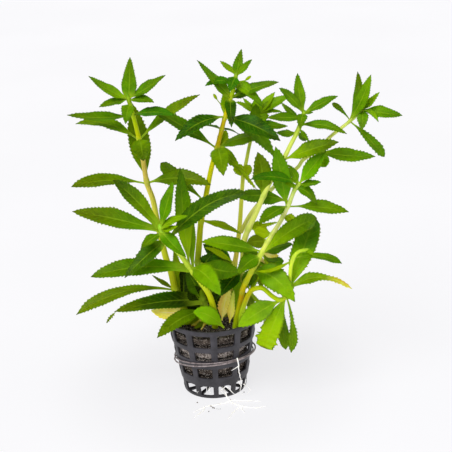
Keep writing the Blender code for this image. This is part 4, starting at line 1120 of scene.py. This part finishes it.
class Paint:
    """The nodes of one material, built step by step round its own Principled shader."""

    def __init__(self, name, roughness, specular):
        self.material = bpy.data.materials.new(name)
        self.material.use_nodes = True
        self.nodes = self.material.node_tree.nodes
        self.links = self.material.node_tree.links
        self.shader = self.nodes["Principled BSDF"]
        self.shade({"Roughness": roughness, "Specular IOR Level": specular})

    def shade(self, inputs):
        self.fill(self.shader, inputs)

    def fill(self, node, inputs):
        """Links or sets a node's inputs. A colour gets its alpha here."""
        for name, value in inputs.items():
            socket = node.inputs[name]
            if isinstance(value, bpy.types.NodeSocket):
                self.links.new(value, socket)
            elif isinstance(value, tuple) and len(socket.default_value) == 4:
                socket.default_value = (*value, 1.0)
            else:
                socket.default_value = value

    def add(self, kind, inputs, output=0, **settings):
        """A new node's output."""
        node = self.nodes.new("ShaderNode" + kind)
        for name, value in settings.items():
            setattr(node, name, value)
        self.fill(node, inputs)
        return node.outputs[output]

    def value(self, name):
        return self.add("Attribute", {}, "Fac", attribute_name=name)

    def place(self):
        return self.add("TexCoord", {}, "Object")

    def noise(self, scale, detail=3.0, roughness=0.5):
        return self.add("TexNoise", {"Vector": self.place(), "Scale": scale, "Detail": detail,
                                     "Roughness": roughness}, "Fac")

    def math(self, operation, first, second=0.0):
        return self.add("Math", {0: first, 1: second}, operation=operation)

    def times(self, first, second):
        return self.math("MULTIPLY", first, second)

    def band(self, value, start, end, low=0.0, high=1.0):
        """Goes smoothly from low at start to high at end."""
        return self.add("MapRange", {"Value": value, "From Min": start, "From Max": end, "To Min": low,
                                     "To Max": high}, interpolation_type="SMOOTHSTEP")

    def mix(self, amount, first, second):
        return self.add("Mix", {0: amount, 6: first, 7: second}, 2, data_type="RGBA", clamp_factor=True)

    def tint(self, body, tone, *band):
        """The body with a tone over it, as much as a band of some value says."""
        return self.mix(self.band(*band), body, tone)

    def ramp(self, value, stops):
        node = self.nodes.new("ShaderNodeValToRGB")
        self.links.new(value, node.inputs[0])
        elements = node.color_ramp.elements
        while len(elements) < len(stops):
            elements.new(0.5)
        for element, (share, tone) in zip(elements, stops):
            element.position = share
            element.color = (*tone, 1.0)
        return node.outputs[0]

    def glow(self, tone, strength):
        self.shade({"Emission Color": tone, "Emission Strength": strength})

    def soften(self, weight, reach, scale):
        """Lets light scatter inside, with a reach for red, green and blue."""
        self.shade({"Subsurface Weight": weight, "Subsurface Radius": reach, "Subsurface Scale": scale})

    def finish(self, body, bumps=None, height=0.0, strength=0.0):
        """The material in its colours, with bumps of a height in metres."""
        self.shade({"Base Color": body})
        if bumps is not None:
            bump = self.add("Bump", {"Height": bumps, "Strength": strength, "Distance": height})
            self.shade({"Normal": bump})
        return self.material


def colour(red, green, blue):
    """A colour of the screen, from 0 to 255, as the linear one that a shader takes."""
    return tuple((part / 255.0) ** 2.2 for part in (red, green, blue))


def shades(dark, middle, light):
    return (0.0, colour(*dark)), (0.5, colour(*middle)), (1.0, colour(*light))


EMERALDS = shades((6, 26, 0), (52, 118, 6), (84, 165, 14))
GREENS = shades((38, 70, 0), (82, 128, 0), (128, 178, 0))
OLIVES = shades((62, 74, 0), (104, 122, 0), (160, 182, 4))
PALE_RIB = colour(160, 195, 40)
LEAF_FLECK = colour(150, 190, 20)
LEAF_BASE = colour(165, 195, 45)
LEAF_MARGIN = colour(48, 62, 0)
LEAF_TIP = colour(60, 62, 10)
DRY_LIGHT = colour(242, 230, 116)
DRY_DARK = colour(222, 204, 62)
DRY_EDGE = colour(204, 124, 20)
DRY_RIB = colour(244, 232, 176)
DEAD_GLOW = 0.2
STEM_STRIPE = colour(95, 100, 20)
STEM_STRIPES = 7.0
STEM_NODE = colour(175, 205, 60)
POT_DARK, POT_HAZE = colour(40, 38, 43), colour(68, 66, 72)
POT_LOW, POT_DUST = colour(30, 29, 30), colour(125, 122, 122)
WOOL_TONES = ((0.3, colour(22, 18, 15)), (0.5, colour(68, 60, 54)), (0.72, colour(132, 120, 110)))
# The last of these is the colour of the plug's painted shade
WOOL_FLECK, WOOL_PALE, WOOL_PAINTED_SHADE = colour(165, 152, 142), colour(212, 200, 194), colour(12, 10, 9)
GRAIN_TONES = shades((95, 84, 74), (185, 172, 160), (245, 238, 230))
# Pinkish grey rubber; both tones are raised to paint in the pale reflection along the band too
BAND_DARK, BAND_PALE_AND_SHEEN = colour(100, 89, 89), colour(168, 156, 156)
ROOT_WHITE, ROOT_CREAM = colour(255, 254, 250), colour(246, 240, 228)
# The roots' glow below is painted light that keeps them whiter than the floor round them
ROOT_SHINE = (1.0, 0.98, 0.94)
ROOT_GLOW = 0.15
FLOOR_GREY, FLOOR_PALE = (0.15, 0.15, 0.155), (0.17, 0.17, 0.175)
FLOOR_SHINE = (0.985, 0.98, 1.0)


def leaf_skin(name, glow=0.0):
    """Green to olive or dry, with a pale midrib and base, faint side veins and a darker tip.

    glow stands in for the daylight that shines through a dead leaf.
    """
    paint = Paint(name, 0.42, 0.06)
    paint.glow(DRY_LIGHT, glow)
    paint.soften(0.25, (0.5, 1.0, 0.15), 0.001)
    along, across, hue, light, dry = (paint.value(value) for value in POINT_VALUES)
    aside = paint.math("ABSOLUTE", across)
    blotch, fine = paint.noise(210.0, 4.0, 0.6), paint.noise(2400.0, 2.0, 0.6)
    lit = paint.math("ADD", paint.times(light, 0.5), paint.band(blotch, 0.25, 0.75, 0.38, 0.62))
    run = paint.math("SUBTRACT", paint.times(along, VEIN_COUNT), paint.times(aside, VEIN_SWEEP))
    wave = paint.math("ABSOLUTE", paint.math("SUBTRACT", paint.math("FRACT", run), 0.5))
    vein = paint.times(paint.band(wave, 0.42, 0.5), paint.band(aside, 0.95, 0.5))
    rib = paint.times(paint.band(aside, 0.11, 0.03), paint.band(along, 0.95, 0.5, 0.0, 0.34))
    body = paint.mix(hue, paint.ramp(lit, GREENS), paint.ramp(lit, OLIVES))
    body = paint.tint(body, paint.ramp(lit, EMERALDS), hue, 0.0, -1.0)
    body = paint.tint(body, LEAF_FLECK, fine, 0.35, 0.75, 0.0, 0.16)
    body = paint.mix(paint.times(vein, 0.20), body, PALE_RIB)
    body = paint.mix(rib, body, PALE_RIB)
    body = paint.tint(body, LEAF_MARGIN, aside, 0.80, 1.0, 0.0, 0.55)
    body = paint.tint(body, LEAF_BASE, along, 0.24, 0.02, 0.0, 0.8)
    body = paint.tint(body, LEAF_TIP, along, 0.95, 1.0, 0.0, 0.75)
    dead = paint.tint(DRY_LIGHT, DRY_DARK, blotch, 0.35, 0.65)
    tanned = paint.times(paint.band(across, -0.1, -0.75, 0.0, 0.8), paint.band(light, 0.2, 0.8))
    dead = paint.mix(tanned, dead, DRY_EDGE)
    dead = paint.mix(paint.times(rib, 2.2), dead, DRY_RIB)
    grain = paint.math("ADD", paint.times(fine, 0.5), paint.times(vein, -0.6))
    return paint.finish(paint.mix(dry, body, dead), grain, 0.00012, 0.5)


def stem_skin(stem):
    """The stem's colours from its foot up, with fine stripes along it and pale nodes."""
    paint = Paint(stem.name + "_skin", 0.38, 0.10)
    paint.soften(0.3, (1.0, 1.2, 0.3), 0.0015)
    body = paint.ramp(paint.value("along"), [(share, colour(*tone)) for share, *tone in stem.skin])
    stripe = paint.math("SINE", paint.times(paint.value("across"), math.tau * STEM_STRIPES))
    blotch = paint.noise(160.0, 4.0, 0.6)
    shade = paint.times(paint.band(stripe, 0.2, 1.0), paint.band(blotch, 0.4, 0.65, 0.0, 0.22))
    body = paint.mix(shade, body, STEM_STRIPE)
    body = paint.mix(paint.times(paint.value("light"), 0.45), body, STEM_NODE)
    return paint.finish(body, stripe, 0.00004, 0.4)


def pot_plastic():
    """Dull black plastic with moulding haze, a darker base and a little lime and dust."""
    paint = Paint("pot_plastic", 0.5, 0.5)
    haze, grain = paint.noise(130.0, 5.0, 0.6), paint.noise(1500.0, 3.0, 0.6)
    height = paint.add("SeparateXYZ", {"Vector": paint.place()}, "Z")
    body = paint.tint(POT_DARK, POT_HAZE, haze, 0.35, 0.7)
    body = paint.tint(body, POT_LOW, height, 0.022, 0.004, 0.0, 0.45)
    body = paint.tint(body, POT_DUST, grain, 0.62, 0.8, 0.0, 0.35)
    paint.shade({"Roughness": paint.band(haze, 0.3, 0.7, 0.42, 0.6)})
    return paint.finish(body, grain, 0.00008, 0.35)


def wool_skin():
    """Dark damp wool, paler where light says so, and darkened by painted shade where the shade value says so.
    """
    paint = Paint("wool_skin", 0.95, 0.1)
    coarse, fine = paint.noise(300.0, 5.0, 0.65), paint.noise(1400.0, 4.0, 0.7)
    body = paint.tint(paint.ramp(coarse, WOOL_TONES), WOOL_FLECK, fine, 0.55, 0.7, 0.0, 0.8)
    pale = paint.times(paint.value("light"), paint.band(fine, 0.44, 0.58, 0.0, 0.9))
    body = paint.mix(pale, body, WOOL_PALE)
    return paint.finish(paint.mix(paint.value("dry"), body, WOOL_PAINTED_SHADE), fine, 0.0004, 0.9)


def grain_skin():
    paint = Paint("grain_skin", 0.8, 0.2)
    return paint.finish(paint.ramp(paint.value("light"), GRAIN_TONES), paint.noise(3000.0), 0.0001, 0.4)


def band_rubber():
    paint = Paint("band_rubber", 0.5, 0.4)
    haze = paint.noise(500.0, 4.0, 0.6)
    # The pale tone holds painted sheen as well as the rubber's own paleness
    return paint.finish(paint.tint(BAND_DARK, BAND_PALE_AND_SHEEN, haze, 0.3, 0.7), haze, 0.00006, 0.5)


def root_skin():
    paint = Paint("root_skin", 0.5, 0.4)
    # Painted light: a faint glow keeps the roots white
    paint.glow(ROOT_SHINE, ROOT_GLOW)
    paint.soften(0.2, (1.0, 0.9, 0.7), 0.0008)
    haze = paint.noise(700.0, 4.0, 0.6)
    return paint.finish(paint.tint(ROOT_WHITE, ROOT_CREAM, haze, 0.35, 0.7), haze, 0.00008, 0.4)


def floor_skin():
    """Nearly white by its own glow, which is a little weaker round the pot as a painted shadow."""
    paint = Paint("floor_skin", 0.7, 0.1)
    away = paint.add("VectorMath", {0: paint.place()}, "Value", operation="LENGTH")
    paint.glow(FLOOR_SHINE, paint.band(away, *FLOOR_SHADOW_RADII, FLOOR_GLOW * FLOOR_SHADOW_SHARE, FLOOR_GLOW))
    return paint.finish(paint.tint(FLOOR_GREY, FLOOR_PALE, paint.noise(4.0, 2.0), 0.3, 0.7))


def make_floor():
    """A pale floor that runs far past the view."""
    mesh = bpy.data.meshes.new("floor")
    corners = [(x * FLOOR_HALF, y * FLOOR_HALF, -FLOOR_DROP) for x, y in ((-1, -1), (1, -1), (1, 1), (-1, 1))]
    mesh.from_pydata(corners, [], [(0, 1, 2, 3)])
    mesh.materials.append(floor_skin())
    add_object("floor", mesh)


def make_camera():
    data = bpy.data.cameras.new("camera")
    data.sensor_width = SENSOR
    data.lens = FOCAL_PX / PICTURE_PX * SENSOR
    data.clip_start = NEAREST_SEEN
    camera = add_object("camera", data)
    turned = Matrix((RIGHT, UP, -FORWARD)).transposed().to_4x4()
    camera.matrix_world = Matrix.Translation(EYE * MM) @ turned
    bpy.context.scene.camera = camera


def make_lights():
    """An even white sky and the soft lamps."""
    world = bpy.data.worlds.new("studio")
    world.use_nodes = True
    sky = world.node_tree.nodes["Background"]
    sky.inputs["Color"].default_value = (1.0, 1.0, 1.0, 1.0)
    sky.inputs["Strength"].default_value = SKY_LIGHT
    bpy.context.scene.world = world
    bpy.context.scene.view_settings.view_transform = "Standard"
    for name, (way, strength, spread) in LAMPS.items():
        data = bpy.data.lights.new(name, "SUN")
        data.energy = strength
        data.angle = math.radians(spread)
        add_object(name, data).rotation_euler = Vector(way).to_track_quat("Z", "Y").to_euler()


def main():
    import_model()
    make_lights()
    make_camera()
    make_floor()
    make_pot()
    make_wool()
    make_band()
    make_roots()
    skins = {"leaf": leaf_skin("leaf_skin"), "dead_leaf": leaf_skin("dead_leaf_skin", DEAD_GLOW)}
    for stem in STEMS:
        make_stem(stem, skins["leaf"])
        for item in stem.leaves:
            make_leaf(item, stem, skins)
    for row in FOOT_LEAVES:
        make_leaf(leaf(*row), TALL, skins)
    for row in PLUG_LEAVES:
        make_leaf(leaf(*row), None, skins)


main()
